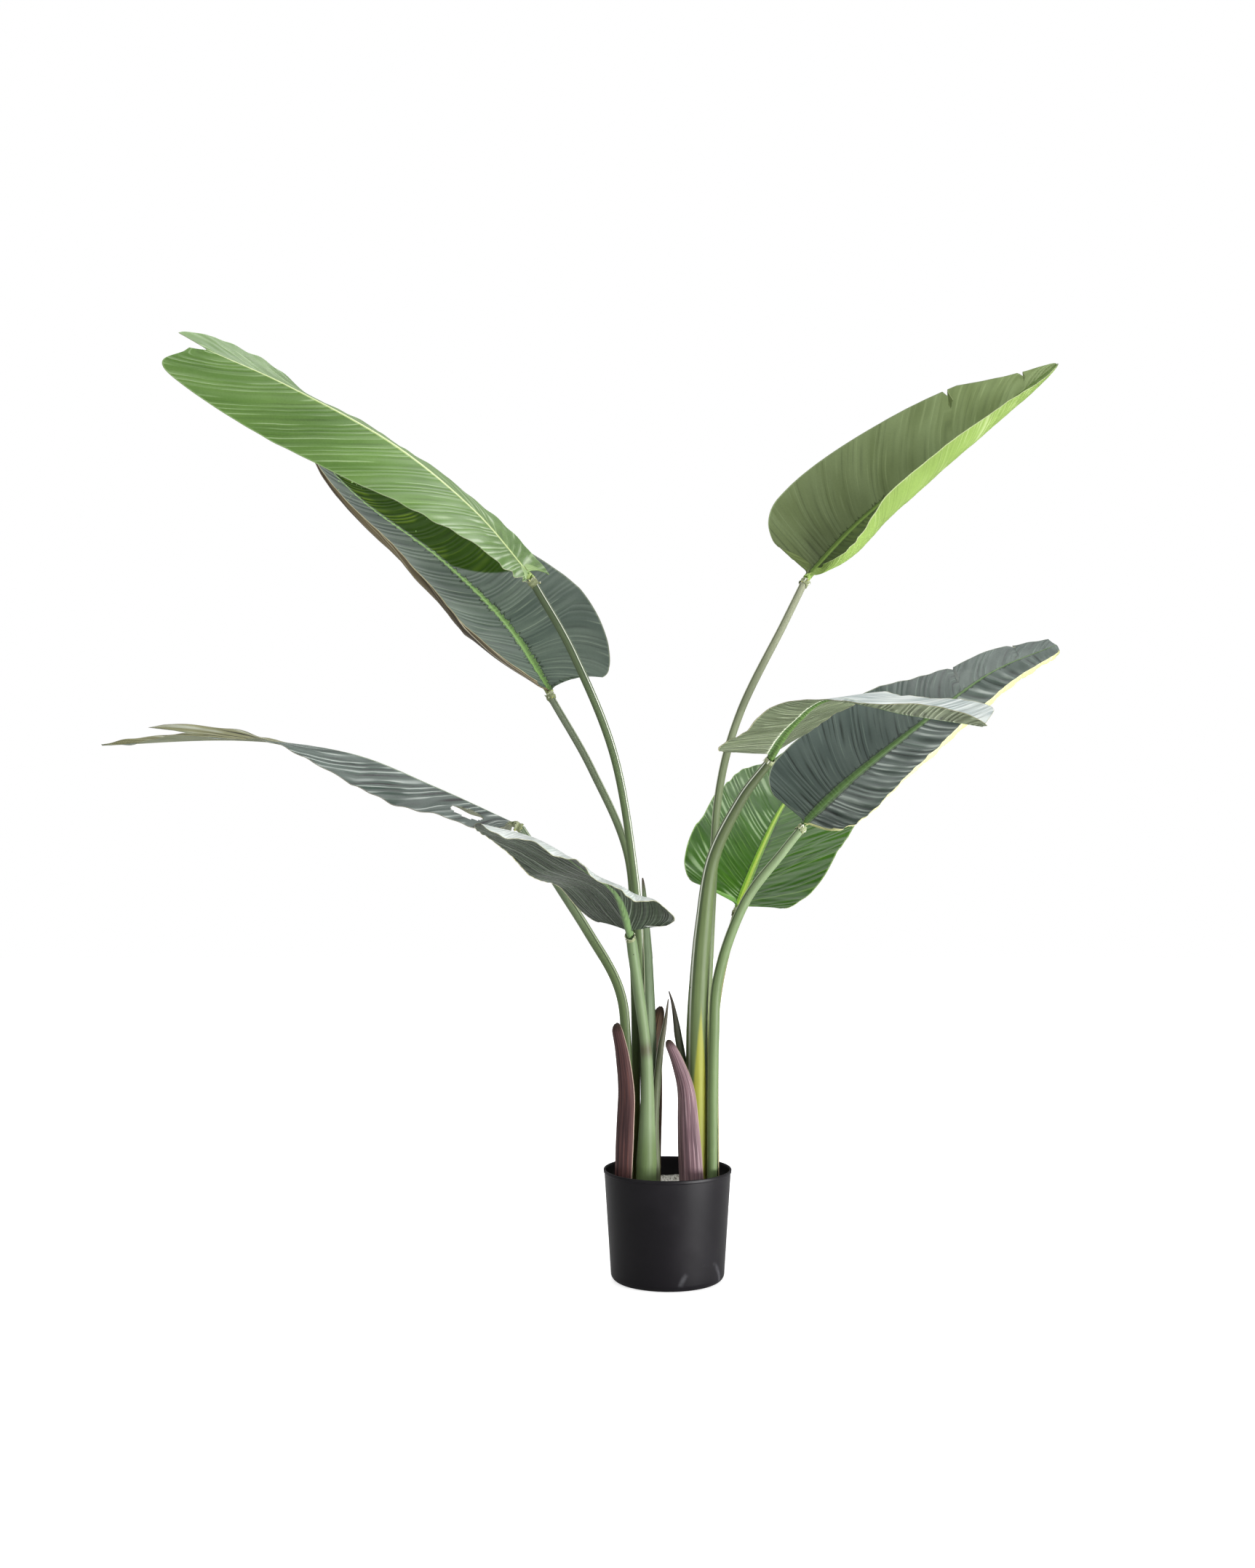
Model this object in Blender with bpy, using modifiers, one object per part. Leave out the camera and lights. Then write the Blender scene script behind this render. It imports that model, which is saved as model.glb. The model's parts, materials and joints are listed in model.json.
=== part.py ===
"""A potted banana plant 1.2 m high: two clumps of stems with four long leaves each, in a black nursery pot."""
import math
from dataclasses import dataclass

import bmesh
import bpy
from mathutils import Vector

# Driving sizes, in metres. +X is to the plant's right, +Y to its back, +Z up.
# The origin is the middle of the pot's base.
MM = 0.001
CLEARANCE = 0.0003

POT_HEIGHT = 0.140
POT_RIM_RADIUS = 0.0802
POT_BASE_RADIUS = 0.0712
POT_WALL = 0.0018
POT_FLOOR = 0.003
POT_BOTTOM_ROUND = 0.009
POT_LIP_HEIGHT = 0.004
POT_LIP_OUT = 0.0008
TURNED_STEPS = 48

FILL_TOP = 0.117
STEM_FOOT = 0.075
STRAIGHT_ABOVE = 0.02

BLADE_THICKNESS = 0.0009
RIB_DEPTH = 0.005
LEAF_ROWS = 24
LEAF_COLUMNS = (0.0, 0.07, 0.30, 0.65, 1.0)
LOBE_ROWS = 0.2
VEIN_SWEEP = 0.14
VEIN_BEND = 1.4
LOBE_SPREAD = 0.3
ARC_STEPS = 8
RIB_FADE = 1.1
PLEAT_HEIGHT = 0.0012
WAVES = 5.0
TEAR_HALF_WIDTH = 0.01
NECK_WIDTH = 0.12
NECK_BEND = 0.7

STEM_END = 0.006
RING_SPACING = 0.035
HOLE_SIDES = 20
SHEATH_ROWS = 12
SHEATH_COLUMNS = 6
SHEATH_THICKNESS = 0.0012


@dataclass
class Blade:
    """One half of a leaf. Slopes, in degrees above level, and the spread of its width run from base to tip."""
    rib_slope: tuple
    edge_slope: tuple
    spread: tuple = (1, 1, 1, 1, 1)
    tears: tuple = ()
    taper: float = 1.4
    tip_reach: float = 1.0
    tip_width: float = 0.03
    neck: float = 0.02
    base_reach: float = 0.018
    start_width: float = 0.6
    wave: float = 0.001
    wave_phase: float = 0.0


@dataclass
class Leaf:
    """A leaf by its midrib's points in millimetres, its half-width in metres and its two halves."""
    midrib: tuple
    half_width: float
    left: Blade
    right: Blade
    widest: float = 0.11
    green: tuple = (0.09, 0.15, 0.07)


@dataclass
class Stem:
    """A stem by its foot and its path in millimetres, and its radii in millimetres from foot to top."""
    path: tuple
    radii: tuple
    green: tuple = (0.16, 0.26, 0.11)
    leaf: str = ""


@dataclass
class Sheath:
    """An open, tapering husk: the middle of its arc, its radius, and where the arc begins and ends in degrees."""
    path: tuple
    radii: tuple
    arc: tuple
    brown: tuple


LEAVES = {
    "leaf_left_upper": Leaf(
        midrib=((-167, -62, 878), (-238, -84, 961), (-334, -110, 1038), (-453, -134, 1101), (-550, -150, 1142)),
        half_width=0.092,
        left=Blade((-5, -30, -52, -58, -58), (-15, -45, -68, -78, -72), spread=(1, 0.94, 0.92, 0.96, 1.0), taper=4,
                   tip_reach=1.10, tip_width=0.1, neck=0.05, base_reach=0.04),
        right=Blade((22, 17, 13, 12, 38), (22, 17, 13, 12, 38), taper=2.4, tip_reach=1.08, tip_width=0.1,
                    neck=0.05, base_reach=0.04, wave_phase=1.4),
        green=(0.20, 0.33, 0.11)),
    "leaf_left_middle": Leaf(
        midrib=((-148, 30, 741), (-207, 60, 833), (-294, 95, 920), (-402, 128, 1002), (-471, 150, 1071)),
        half_width=0.104, widest=0.2,
        left=Blade((4, -52, -66, -56, -41), (32, 38, 38, 38, 34), spread=(0.85, 0.99, 1.03, 1, 1), taper=1.2,
                   base_reach=0.03, start_width=0.4, wave_phase=0.8),
        right=Blade((70, 62, 50, 48, 45), (75, 66, 54, 50, 48), spread=(1.08, 0.98, 0.89, 1, 1), taper=1.2,
                    base_reach=-0.04, wave_phase=2.2),
        green=(0.10, 0.15, 0.11)),
    "leaf_left_front": Leaf(
        midrib=((-47, -38, 438), (-65, -110, 494), (-102, -190, 527), (-151, -275, 564), (-210, -370, 584)),
        half_width=0.073, widest=0.28,
        left=Blade((12, 0, -15, -20, -20), (-12, -29, -38, -30, -25), spread=(1.12, 1, 1, 1, 1), neck=0.05,
                   base_reach=0.06, start_width=0.5, wave=0.003, wave_phase=0.2),
        right=Blade((24, 8, -8, -10, -5), (14, -2, -18, -15, -10), neck=0.04, wave=0.003, wave_phase=1.1),
        green=(0.06, 0.10, 0.06)),
    "leaf_left_low": Leaf(
        midrib=((-191, 32, 574), (-296, 38, 622), (-409, 44, 666), (-550, 48, 683), (-729, 52, 676)),
        half_width=0.088,
        left=Blade((-4, -14, -22, -26, -8, 0, 5, 5, 2), (-10, -20, -26, -34, -14, 0, 5, 5, 2), tears=((0.16, 0.3),),
                   taper=1.2, wave=0.003, wave_phase=0.5),
        right=Blade((-8, -8, -8, -6, -5, 4, 20, 32, 26), (-20, -17, -15, -12, -10, 4, 22, 34, 26),
                    tears=((0.84, 0.75),), taper=1.2, wave_phase=2.6),
        green=(0.13, 0.20, 0.14)),
    "leaf_right_upper": Leaf(
        midrib=((175, 20, 886), (245, 66, 962), (343, 120, 1047), (449, 172, 1131), (540, 216, 1204)),
        half_width=0.092,
        left=Blade((60, 65, 65, 65, 60), (75, 80, 78, 72, 65), spread=(0.97, 1.06, 1.1, 1.15, 0.5), neck=0.045,
                   tears=((0.715, 0.3), (0.91, 0.5)), taper=1.3, wave_phase=0.9),
        right=Blade((-30, -50, -55, -52, -45), (70, 90, 94, 88, 72), spread=(0.7, 1, 1.06, 1.06, 1), taper=1.3,
                    neck=0.05, base_reach=0.05, start_width=0.3, wave_phase=1.9),
        green=(0.12, 0.18, 0.06)),
    "leaf_right_middle": Leaf(
        midrib=((166, -34, 573), (233, 4, 632), (323, 54, 699), (427, 106, 772), (525, 150, 813)),
        half_width=0.092,
        left=Blade((48, 48, 48, 48, 42, 24, 14, 18, 14), (56, 56, 56, 54, 46, 26, 14, 18, 14),
                   spread=(0.85, 0.95, 1, 1, 1), neck=0.03, taper=1.6, tears=((0.75, 0.35), (0.91, 0.3)),
                   tip_width=0.3, tip_reach=1.02, wave_phase=0.1),
        right=Blade((-22, -28, -34, -40, -45), (32, 30, 26, 20, 20), taper=1.6, tip_width=0.25, tip_reach=0.97,
                    wave_phase=2.9),
        green=(0.08, 0.12, 0.10)),
    "leaf_right_front": Leaf(
        midrib=((125, -58, 658), (151, -110, 699), (191, -175, 727), (261, -255, 706), (338, -330, 689)),
        half_width=0.095,
        left=Blade((30, 14, 8, 20, 28), (26, 8, 8, 24, 32), spread=(0.5, 0.8, 1, 1, 1), neck=0.05,
                   base_reach=0.05, wave=0.002, wave_phase=1.6),
        right=Blade((-4, -13, -4, 14, 16), (-6, -17, 0, 20, 20), neck=0.05, base_reach=0.07, start_width=0.8,
                    wave=0.002, wave_phase=0.7),
        green=(0.15, 0.20, 0.13)),
    "leaf_right_back": Leaf(
        midrib=((90, 40, 464), (126, 120, 537), (162, 200, 596), (208, 280, 647), (284, 360, 698)),
        half_width=0.104, widest=0.24,
        left=Blade((40, 36, 28, 15, 5), (34, 28, 18, 5, 0), spread=(1, 0.86, 0.92, 1, 1), neck=0.035, taper=1.8,
                   wave=0.002, wave_phase=2.0),
        right=Blade((2, 0, 0, 0, 0), (-8, -12, -12, -10, -5), spread=(0.9, 0.98, 1.2, 1.3, 1.3), taper=1.8,
                    wave_phase=0.4),
        green=(0.09, 0.28, 0.03)),
}

STEMS = {
    "stem_left_upper": Stem(
        path=((-27, 12), (-29, 12, 290), (-33, 10, 393), (-42, -4, 514), (-67, -28, 661), (-117, -50, 786)),
        radii=(6, 6, 5.6, 5.5, 5.5, 5), leaf="leaf_left_upper"),
    "stem_left_middle": Stem(
        path=((-40, 27), (-40, 27, 291), (-42, 27, 392), (-49, 27, 531), (-95, 28, 643)),
        radii=(5.6, 5.6, 5.4, 5.4, 5), leaf="leaf_left_middle"),
    "stem_left_low": Stem(
        path=((-50, 16), (-52, 16, 287), (-61, 18, 365), (-101, 22, 438), (-160, 28, 529)),
        radii=(6.8, 6.8, 6.6, 6.5, 5), leaf="leaf_left_low"),
    "stem_left_front": Stem(
        path=((-28, -16), (-26, -18, 250), (-29, -20, 305), (-38, -26, 372)),
        radii=(12, 12, 9, 7, 6.4, 6.6, 6.5, 5), green=(0.14, 0.33, 0.10), leaf="leaf_left_front"),
    "stem_right_front": Stem(
        path=((38, 6), (37, 2, 293), (39, -4, 376), (44, -12, 447), (56, -26, 533), (90, -44, 606)),
        radii=(11.5, 11.5, 11.5, 10, 8.5, 7, 6.5, 5), leaf="leaf_right_front"),
    "stem_right_upper": Stem(
        path=((42, 28), (50, 26, 327), (57, 20, 485), (65, 14, 615), (92, 12, 717), (147, 16, 828)),
        radii=(6, 6, 5.8, 5.6, 5.6, 5), leaf="leaf_right_upper"),
    "stem_right_middle": Stem(
        path=((59, -6), (62, -8, 303), (70, -12, 387), (100, -20, 477), (143, -30, 541)),
        radii=(6.8, 6.8, 7, 6.8, 6.4, 5), leaf="leaf_right_middle"),
    "stem_right_back": Stem(
        path=((56, 22), (60, 22, 300), (66, 25, 364), (80, 33, 427)),
        radii=(5.2, 5.2, 5, 4.8, 4.5), leaf="leaf_right_back"),
}

SPEARS = {
    "spear_left": Stem(
        path=((-14, 2), (-16, 3, 207), (-10, 2, 283), (-3, 1, 325), (1, 0, 354)),
        radii=(4, 4, 3.8, 3.6, 2.4, 0.8), green=(0.12, 0.12, 0.08)),
    "spear_right": Stem(
        path=((20, 16), (21, 13, 250), (13, 10, 311), (7, 8, 346), (2, 8, 363)),
        radii=(3.6, 3.6, 3.6, 3.2, 2.2, 0.8), green=(0.12, 0.12, 0.08)),
}

SHEATHS = {
    "sheath_left_maroon": Sheath(
        path=((-51, -7), (-48, -8, 194), (-47, -9, 240), (-53, -11, 287), (-62, -14, 325)),
        radii=(14, 15, 14, 9, 3), arc=(115, 290), brown=(0.10, 0.055, 0.05)),
    "sheath_left_dry": Sheath(
        path=((-14, 34), (-15, 33, 207), (-17, 32, 281), (-13, 31, 317), (-8, 30, 341)),
        radii=(4, 4, 5, 6, 2), arc=(150, 330), brown=(0.13, 0.09, 0.06)),
    "sheath_left_long": Sheath(
        path=((-25, 16), (-24, 15, 267), (-26, 14, 382), (-28, 9, 457), (-30, 3, 507)),
        radii=(8, 8.5, 8, 5, 1.5), arc=(-20, 150), brown=(0.10, 0.16, 0.08)),
    "sheath_right_purple": Sheath(
        path=((35, 2), (30, -1, 194), (26, -6, 241), (15, -14, 277), (2, -22, 305)),
        radii=(18, 17, 13, 9, 3), arc=(170, 300), brown=(0.24, 0.13, 0.14)),
    "sheath_right_dark": Sheath(
        path=((56, 9), (57, 8, 207), (60, 8, 277), (64, 8, 334)),
        radii=(9, 8, 5, 1.5), arc=(-20, 50), brown=(0.06, 0.04, 0.03)),
}


def clear_scene():
    for item in list(bpy.data.objects):
        bpy.data.objects.remove(item, do_unlink=True)


def new_collection(name):
    group = bpy.data.collections.new(name)
    bpy.context.scene.collection.children.link(group)
    return group


def finish(name, colour, roughness, metallic=0.0):
    material = bpy.data.materials.new(name)
    material.use_nodes = True
    shader = material.node_tree.nodes["Principled BSDF"]
    shader.inputs["Base Color"].default_value = (*colour, 1.0)
    shader.inputs["Roughness"].default_value = roughness
    shader.inputs["Metallic"].default_value = metallic
    return material


def add_object(name, data, group, material=None):
    item = bpy.data.objects.new(name, data)
    group.objects.link(item)
    if material:
        data.materials.append(material)
    return item


def between(values, share):
    """The value at a share of the way along evenly spaced values."""
    place = min(max(share, 0.0), 1.0) * (len(values) - 1)
    first = min(int(place), len(values) - 2)
    return values[first] + (values[first + 1] - values[first]) * (place - first)


class SmoothPath:
    """A smooth curve through hand-set points, read by the share of its length."""

    def __init__(self, points, samples=16):
        ends = [points[0] * 2 - points[1], *points, points[-1] * 2 - points[-2]]
        self.points = []
        for a, b, c, d in zip(ends, ends[1:], ends[2:], ends[3:]):
            for step in range(samples):
                t = step / samples
                self.points.append(0.5 * (2 * b + (c - a) * t + (2 * a - 5 * b + 4 * c - d) * t ** 2
                                          + (3 * b - a - 3 * c + d) * t ** 3))
        self.points.append(points[-1].copy())
        self.reach = [0.0]
        for a, b in zip(self.points, self.points[1:]):
            self.reach.append(self.reach[-1] + (b - a).length)
        self.length = self.reach[-1]

    def point(self, share):
        """The point there; past an end, the curve goes on straight."""
        target = share * self.length
        if target <= 0.0:
            return self.points[0] + self.direction(0.0) * target
        if target >= self.length:
            return self.points[-1] + self.direction(1.0) * (target - self.length)
        after = next(i for i, reach in enumerate(self.reach) if reach >= target)
        part = (target - self.reach[after - 1]) / (self.reach[after] - self.reach[after - 1])
        return self.points[after - 1].lerp(self.points[after], part)

    def direction(self, share):
        centre = min(max(share, 0.02), 0.98)
        return (self.point(centre + 0.019) - self.point(centre - 0.019)).normalized()


def from_mm(point):
    return Vector(point) * MM


def outline(leaf, blade, share):
    """Where row `share` of a half-blade meets the edge: its reach along the leaf and its part of the half-width."""
    if share < LOBE_ROWS:
        turn = share / LOBE_ROWS * math.pi / 2
        reach = blade.base_reach + (leaf.widest - blade.base_reach) * (1 - math.cos(turn))
        width = blade.start_width + (1 - blade.start_width) * math.sin(turn)
    else:
        past = (share - LOBE_ROWS) / (1 - LOBE_ROWS)
        reach = leaf.widest + (blade.tip_reach - leaf.widest) * past
        width = blade.tip_width + (1 - blade.tip_width) * (1 - past ** blade.taper) ** 0.6
    width *= between(blade.spread, share)
    for place, depth in blade.tears:
        width *= 1 - depth * max(0.0, 1 - abs(share - place) / TEAR_HALF_WIDTH)
    return reach, width


def section_frame(path, share):
    """The direction of the midrib there, with a level direction to its right and the one that points up."""
    along = path.direction(share)
    right = along.cross(Vector((0, 0, 1))).normalized()
    return along, right, right.cross(along)


def blade_point(leaf, path, blade, side, row, share, column):
    """A point of the leaf's upper face; side is 1 on the right of the midrib and -1 on the left."""
    rib_share = share - VEIN_SWEEP * math.sin(math.pi * share)
    reach, width = outline(leaf, blade, share)
    place = rib_share + (reach - rib_share) * column ** VEIN_BEND
    if row == 0:
        neck = blade.neck * min(1.0, column / NECK_WIDTH) ** NECK_BEND
        bend = max(0.0, (column - LOBE_SPREAD) / (1 - LOBE_SPREAD)) ** VEIN_BEND
        place = neck + (blade.base_reach - neck) * bend
    _, right, up = section_frame(path, place)
    rib = math.radians(between(blade.rib_slope, place))
    edge = math.radians(between(blade.edge_slope, place))
    stretch = leaf.half_width * width * column / ARC_STEPS
    point = path.point(place)
    for step in range(ARC_STEPS):
        slope = rib + (edge - rib) * column * (step + 0.5) / ARC_STEPS
        point = point + (right * side * math.cos(slope) + up * math.sin(slope)) * stretch
    slope = rib + (edge - rib) * column
    lift = up * math.cos(slope) - right * side * math.sin(slope)
    wave = blade.wave * column ** 2 * math.sin(2 * math.pi * WAVES * share + blade.wave_phase)
    pleat = PLEAT_HEIGHT * min(1.0, column * 3) * (-1) ** row
    calm_base = math.sin(math.pi * min(share * 3 + 0.1, 0.5))
    return point + lift * (wave + pleat) * calm_base


def row_shares(leaf):
    """Even rows, with three more at each tear."""
    shares = {row / LEAF_ROWS for row in range(LEAF_ROWS + 1)}
    for blade in (leaf.left, leaf.right):
        for place, _ in blade.tears:
            shares = {share for share in shares if abs(share - place) > 1.5 * TEAR_HALF_WIDTH}
            shares |= {place - TEAR_HALF_WIDTH, place, place + TEAR_HALF_WIDTH}
    return sorted(shares)


def sheet(name, rows, group):
    """An open surface over rows of points, split into triangles so that both of its later faces are alike."""
    mesh = bpy.data.meshes.new(name)
    work = bmesh.new()
    grid = [[work.verts.new(point) for point in row] for row in rows]
    for near, far in zip(grid, grid[1:]):
        for a, b, c, d in zip(near, near[1:], far[1:], far):
            work.faces.new((a, b, c))
            work.faces.new((a, c, d))
    work.to_mesh(mesh)
    work.free()
    mesh.shade_smooth()
    return add_object(name, mesh, group)


def leaf_object(name, leaf, group):
    path = SmoothPath([from_mm(point) for point in leaf.midrib])
    shares = row_shares(leaf)
    rows = []
    for row, share in enumerate(shares):
        left = [blade_point(leaf, path, leaf.left, -1, row, share, column) for column in LEAF_COLUMNS[:0:-1]]
        right = [blade_point(leaf, path, leaf.right, 1, row, share, column) for column in LEAF_COLUMNS]
        rows.append(left + right)
    item = sheet(name, rows, group)
    middle = len(LEAF_COLUMNS) - 1
    across = 2 * middle + 1
    rib = item.vertex_groups.new(name="rib")
    for row, share in enumerate(shares):
        rib.add([row * across + middle], max(0.0, 1 - share * RIB_FADE), "REPLACE")
    wall = item.modifiers.new("thickness", "SOLIDIFY")
    wall.thickness = RIB_DEPTH
    wall.offset = -1
    wall.vertex_group = "rib"
    wall.thickness_vertex_group = BLADE_THICKNESS / RIB_DEPTH
    item.data.materials.append(finish(name, leaf.green, 0.45))
    return item


def stem_places(stem):
    """The points along a stem: its straight foot, a smooth way up, and a last short stretch square to its leaf."""
    x, y = stem.path[0]
    collar = Vector((x * MM, y * MM, FILL_TOP + STRAIGHT_ABOVE))
    way = [collar] + [from_mm(point) for point in stem.path[1:]]
    ends = []
    if stem.leaf:
        midrib = SmoothPath([from_mm(point) for point in LEAVES[stem.leaf].midrib])
        along, _, up = section_frame(midrib, 0.0)
        ends.append(midrib.point(0.0) - along * CLEARANCE - up * RIB_DEPTH * 0.5)
        way.append(ends[0] - along * STEM_END)
    path = SmoothPath(way)
    count = round(path.length / RING_SPACING)
    foot = Vector((collar.x, collar.y, STEM_FOOT))
    return [foot] + [path.point(step / count) for step in range(count + 1)] + ends


def stem_object(name, stem, group):
    """A round tube, its radius changing evenly between the stem's own radii."""
    curve = bpy.data.curves.new(name, "CURVE")
    curve.dimensions = "3D"
    curve.bevel_depth = MM
    curve.bevel_resolution = 3
    curve.use_fill_caps = True
    places = stem_places(stem)
    spline = curve.splines.new("POLY")
    spline.points.add(len(places) - 1)
    for index, (knot, place) in enumerate(zip(spline.points, places)):
        knot.co = (*place, 1.0)
        knot.radius = between(stem.radii, index / (len(places) - 1))
    return add_object(name, curve, group, finish(name, stem.green, 0.5))


def sheath_object(name, sheath, group):
    """A husk that stands on the fill, its arc open on one side, drawn in to a blunt tip."""
    x, y = sheath.path[0]
    foot = Vector((x * MM, y * MM, FILL_TOP + CLEARANCE))
    path = SmoothPath([foot] + [from_mm(point) for point in sheath.path[1:]])
    start, end = (math.radians(turn) for turn in sheath.arc)
    turns = [start + (end - start) * column / SHEATH_COLUMNS for column in range(SHEATH_COLUMNS + 1)]
    rows = []
    for step in range(SHEATH_ROWS + 1):
        share = step / SHEATH_ROWS
        radius = between(sheath.radii, share) * MM
        centre = path.point(share)
        rows.append([centre + Vector((math.cos(turn), math.sin(turn), 0)) * radius for turn in turns])
    item = sheet(name, rows, group)
    wall = item.modifiers.new("thickness", "SOLIDIFY")
    wall.thickness = SHEATH_THICKNESS
    wall.offset = 1
    item.data.materials.append(finish(name, sheath.brown, 0.6))
    return item


def turned(name, profile, group, material):
    """A body turned round Z from its profile, which starts and ends on the axis."""
    mesh = bpy.data.meshes.new(name)
    mesh.from_pydata([(radius, 0, height) for radius, height in profile],
                     [(i, i + 1) for i in range(len(profile) - 1)], [])
    item = add_object(name, mesh, group, material)
    screw = item.modifiers.new("turn", "SCREW")
    screw.steps = TURNED_STEPS
    screw.render_steps = TURNED_STEPS
    screw.use_merge_vertices = True
    screw.merge_threshold = 0.00001
    screw.use_smooth_shade = True
    return item


def pot_radius(height):
    return POT_BASE_RADIUS + (POT_RIM_RADIUS - POT_BASE_RADIUS) * height / POT_HEIGHT


def rounded_foot(inset, floor, steps=4):
    """The pot's rounded bottom edge from the side down to the base, moved in by the inset."""
    radius = POT_BOTTOM_ROUND
    centre_radius = pot_radius(radius) - radius
    profile = []
    for step in range(steps + 1):
        turn = math.pi / 2 * step / steps
        profile.append((centre_radius + (radius - inset) * math.cos(turn),
                        floor + (radius - inset) * (1 - math.sin(turn))))
    return profile


def pot_object(group):
    material = finish("pot", (0.018, 0.017, 0.020), 0.42)
    lip = POT_HEIGHT - POT_LIP_HEIGHT
    inside = [(0.0, POT_FLOOR), *reversed(rounded_foot(POT_WALL, POT_FLOOR)),
              (pot_radius(lip) - POT_WALL, lip), (POT_RIM_RADIUS - POT_WALL, POT_HEIGHT)]
    outside = [(POT_RIM_RADIUS + POT_LIP_OUT, POT_HEIGHT), (pot_radius(lip) + POT_LIP_OUT, lip),
               (pot_radius(lip), lip - POT_LIP_OUT), *rounded_foot(0.0, 0.0), (0.0, 0.0)]
    return turned("pot", inside + outside, group, material)


def fill_object(group, cutters):
    """The cast filling: 0.3 mm clear of the pot's wall and floor, with a plain round hole for each stem."""
    inset = POT_WALL + CLEARANCE
    edge = pot_radius(FILL_TOP) - inset
    floor = POT_FLOOR + CLEARANCE
    profile = [(0.0, FILL_TOP), (edge, FILL_TOP), *rounded_foot(inset, floor), (0.0, floor)]
    item = turned("fill", profile, group, finish("fill", (0.65, 0.64, 0.61), 0.9))
    holes = item.modifiers.new("stem holes", "BOOLEAN")
    holes.operand_type = "COLLECTION"
    holes.collection = cutters
    holes.operation = "DIFFERENCE"
    return item


def hole_cutter(name, stem, group):
    """A plain hole whose flats stay 0.3 mm clear of the foot of its stem."""
    mesh = bpy.data.meshes.new(name)
    work = bmesh.new()
    radius = (stem.radii[0] * MM + CLEARANCE) / math.cos(math.pi / HOLE_SIDES)
    bottom = STEM_FOOT - CLEARANCE
    depth = FILL_TOP + STRAIGHT_ABOVE - bottom
    bmesh.ops.create_cone(work, cap_ends=True, segments=HOLE_SIDES, radius1=radius, radius2=radius, depth=depth)
    work.to_mesh(mesh)
    work.free()
    item = add_object(name, mesh, group)
    x, y = stem.path[0]
    item.location = (x * MM, y * MM, bottom + depth / 2)
    item.hide_render = True
    item.display_type = "WIRE"


def build():
    clear_scene()
    plant = new_collection("potted_banana_plant")
    cutters = new_collection("cutters")
    pot_object(plant)
    standing = {**STEMS, **SPEARS}
    for name, stem in standing.items():
        hole_cutter("hole_" + name, stem, cutters)
        stem_object(name, stem, plant)
    fill_object(plant, cutters)
    for name, sheath in SHEATHS.items():
        sheath_object(name, sheath, plant)
    for name, leaf in LEAVES.items():
        leaf_object(name, leaf, plant)


build()
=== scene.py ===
# %% [markdown]
# A potted banana plant, finished in Blender.
# The real object is an artificial plant 1.2 m high. Two clumps of stems stand in a black nursery pot, and
# each stem carries one long leaf with a raised midrib, pleated side veins and a waved edge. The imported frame
# holds plain solids of every piece, so this lesson replaces them one by one with finer pieces of the same
# form.

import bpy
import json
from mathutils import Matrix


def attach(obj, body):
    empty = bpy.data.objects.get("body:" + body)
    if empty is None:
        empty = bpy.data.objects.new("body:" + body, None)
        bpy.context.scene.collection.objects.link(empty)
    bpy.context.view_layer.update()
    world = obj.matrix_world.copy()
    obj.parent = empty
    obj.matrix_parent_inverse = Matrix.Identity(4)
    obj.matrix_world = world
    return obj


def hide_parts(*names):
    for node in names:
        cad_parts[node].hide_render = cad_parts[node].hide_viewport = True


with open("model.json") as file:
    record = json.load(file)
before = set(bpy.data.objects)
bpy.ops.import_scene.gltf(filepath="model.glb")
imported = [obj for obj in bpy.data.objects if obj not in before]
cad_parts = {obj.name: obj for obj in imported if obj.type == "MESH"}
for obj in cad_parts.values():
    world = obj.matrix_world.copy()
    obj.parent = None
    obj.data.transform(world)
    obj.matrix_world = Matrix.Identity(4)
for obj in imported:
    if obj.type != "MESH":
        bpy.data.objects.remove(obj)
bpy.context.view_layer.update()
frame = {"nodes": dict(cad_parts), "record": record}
SLOTS = {item["node"]: item["material_slot"] for item in frame["record"]["subparts"]}
print("nodes in the frame:", len(frame["nodes"]))

# %% [markdown]
# Everything below is in metres, with +X to the plant's right, +Y to its back and +Z up. The places along a
# stem or a midrib are easier to read in millimetres, so the tables hold millimetres and one factor turns
# them into metres.

# %% Modules and units
import json
import math
import random
from dataclasses import dataclass

import bpy
import numpy as np

MM = 0.001
UP = np.array((0.0, 0.0, 1.0))
bpy.ops.object.select_all(action="DESELECT")

# %% [markdown]
# The photograph is level and square to the plant, from 2.45 m away. A camera has a lens length for the long
# side of its picture, so one number sets the view. The paper behind the plant is pure white, so the plain
# view transform is used: the film-like one would turn white into grey.

# %% Camera
CAMERA_PLACE = (-0.0506, -2.452, 0.626)
LENS = 44.5


def set_camera():
    bpy.ops.object.camera_add(location=CAMERA_PLACE, rotation=(math.pi / 2, 0, 0))
    camera = bpy.context.object
    camera.name = "camera"
    camera.data.lens = LENS
    camera.data.sensor_width = 36.0
    bpy.context.scene.camera = camera
    bpy.context.scene.view_settings.view_transform = "Standard"
    print("camera at", tuple(round(value, 3) for value in camera.location))


set_camera()

# %% [markdown]
# Studio light for a plant on white paper. A very large soft box hangs above and a little behind, so that
# what faces the sky gets a white sheen. A wide one stands on the right, a weak one fills from the left, and
# a low, long one close to the pot draws the broad soft gleam on its side. The room is dark at eye level and
# brighter overhead, which keeps the sides of round stalks dark. To the camera the room is plain white paper.

# %% Lights and floor
ROOM_LEVEL = 0.2
ROOM_OVERHEAD = 0.5
FLOOR_SIZE = 9.0
FLOOR_NEAR = 0.7
PAPER = (0.62, 0.62, 0.62, 1.0)
WHITE = (1.0, 1.0, 1.0, 1.0)


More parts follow.
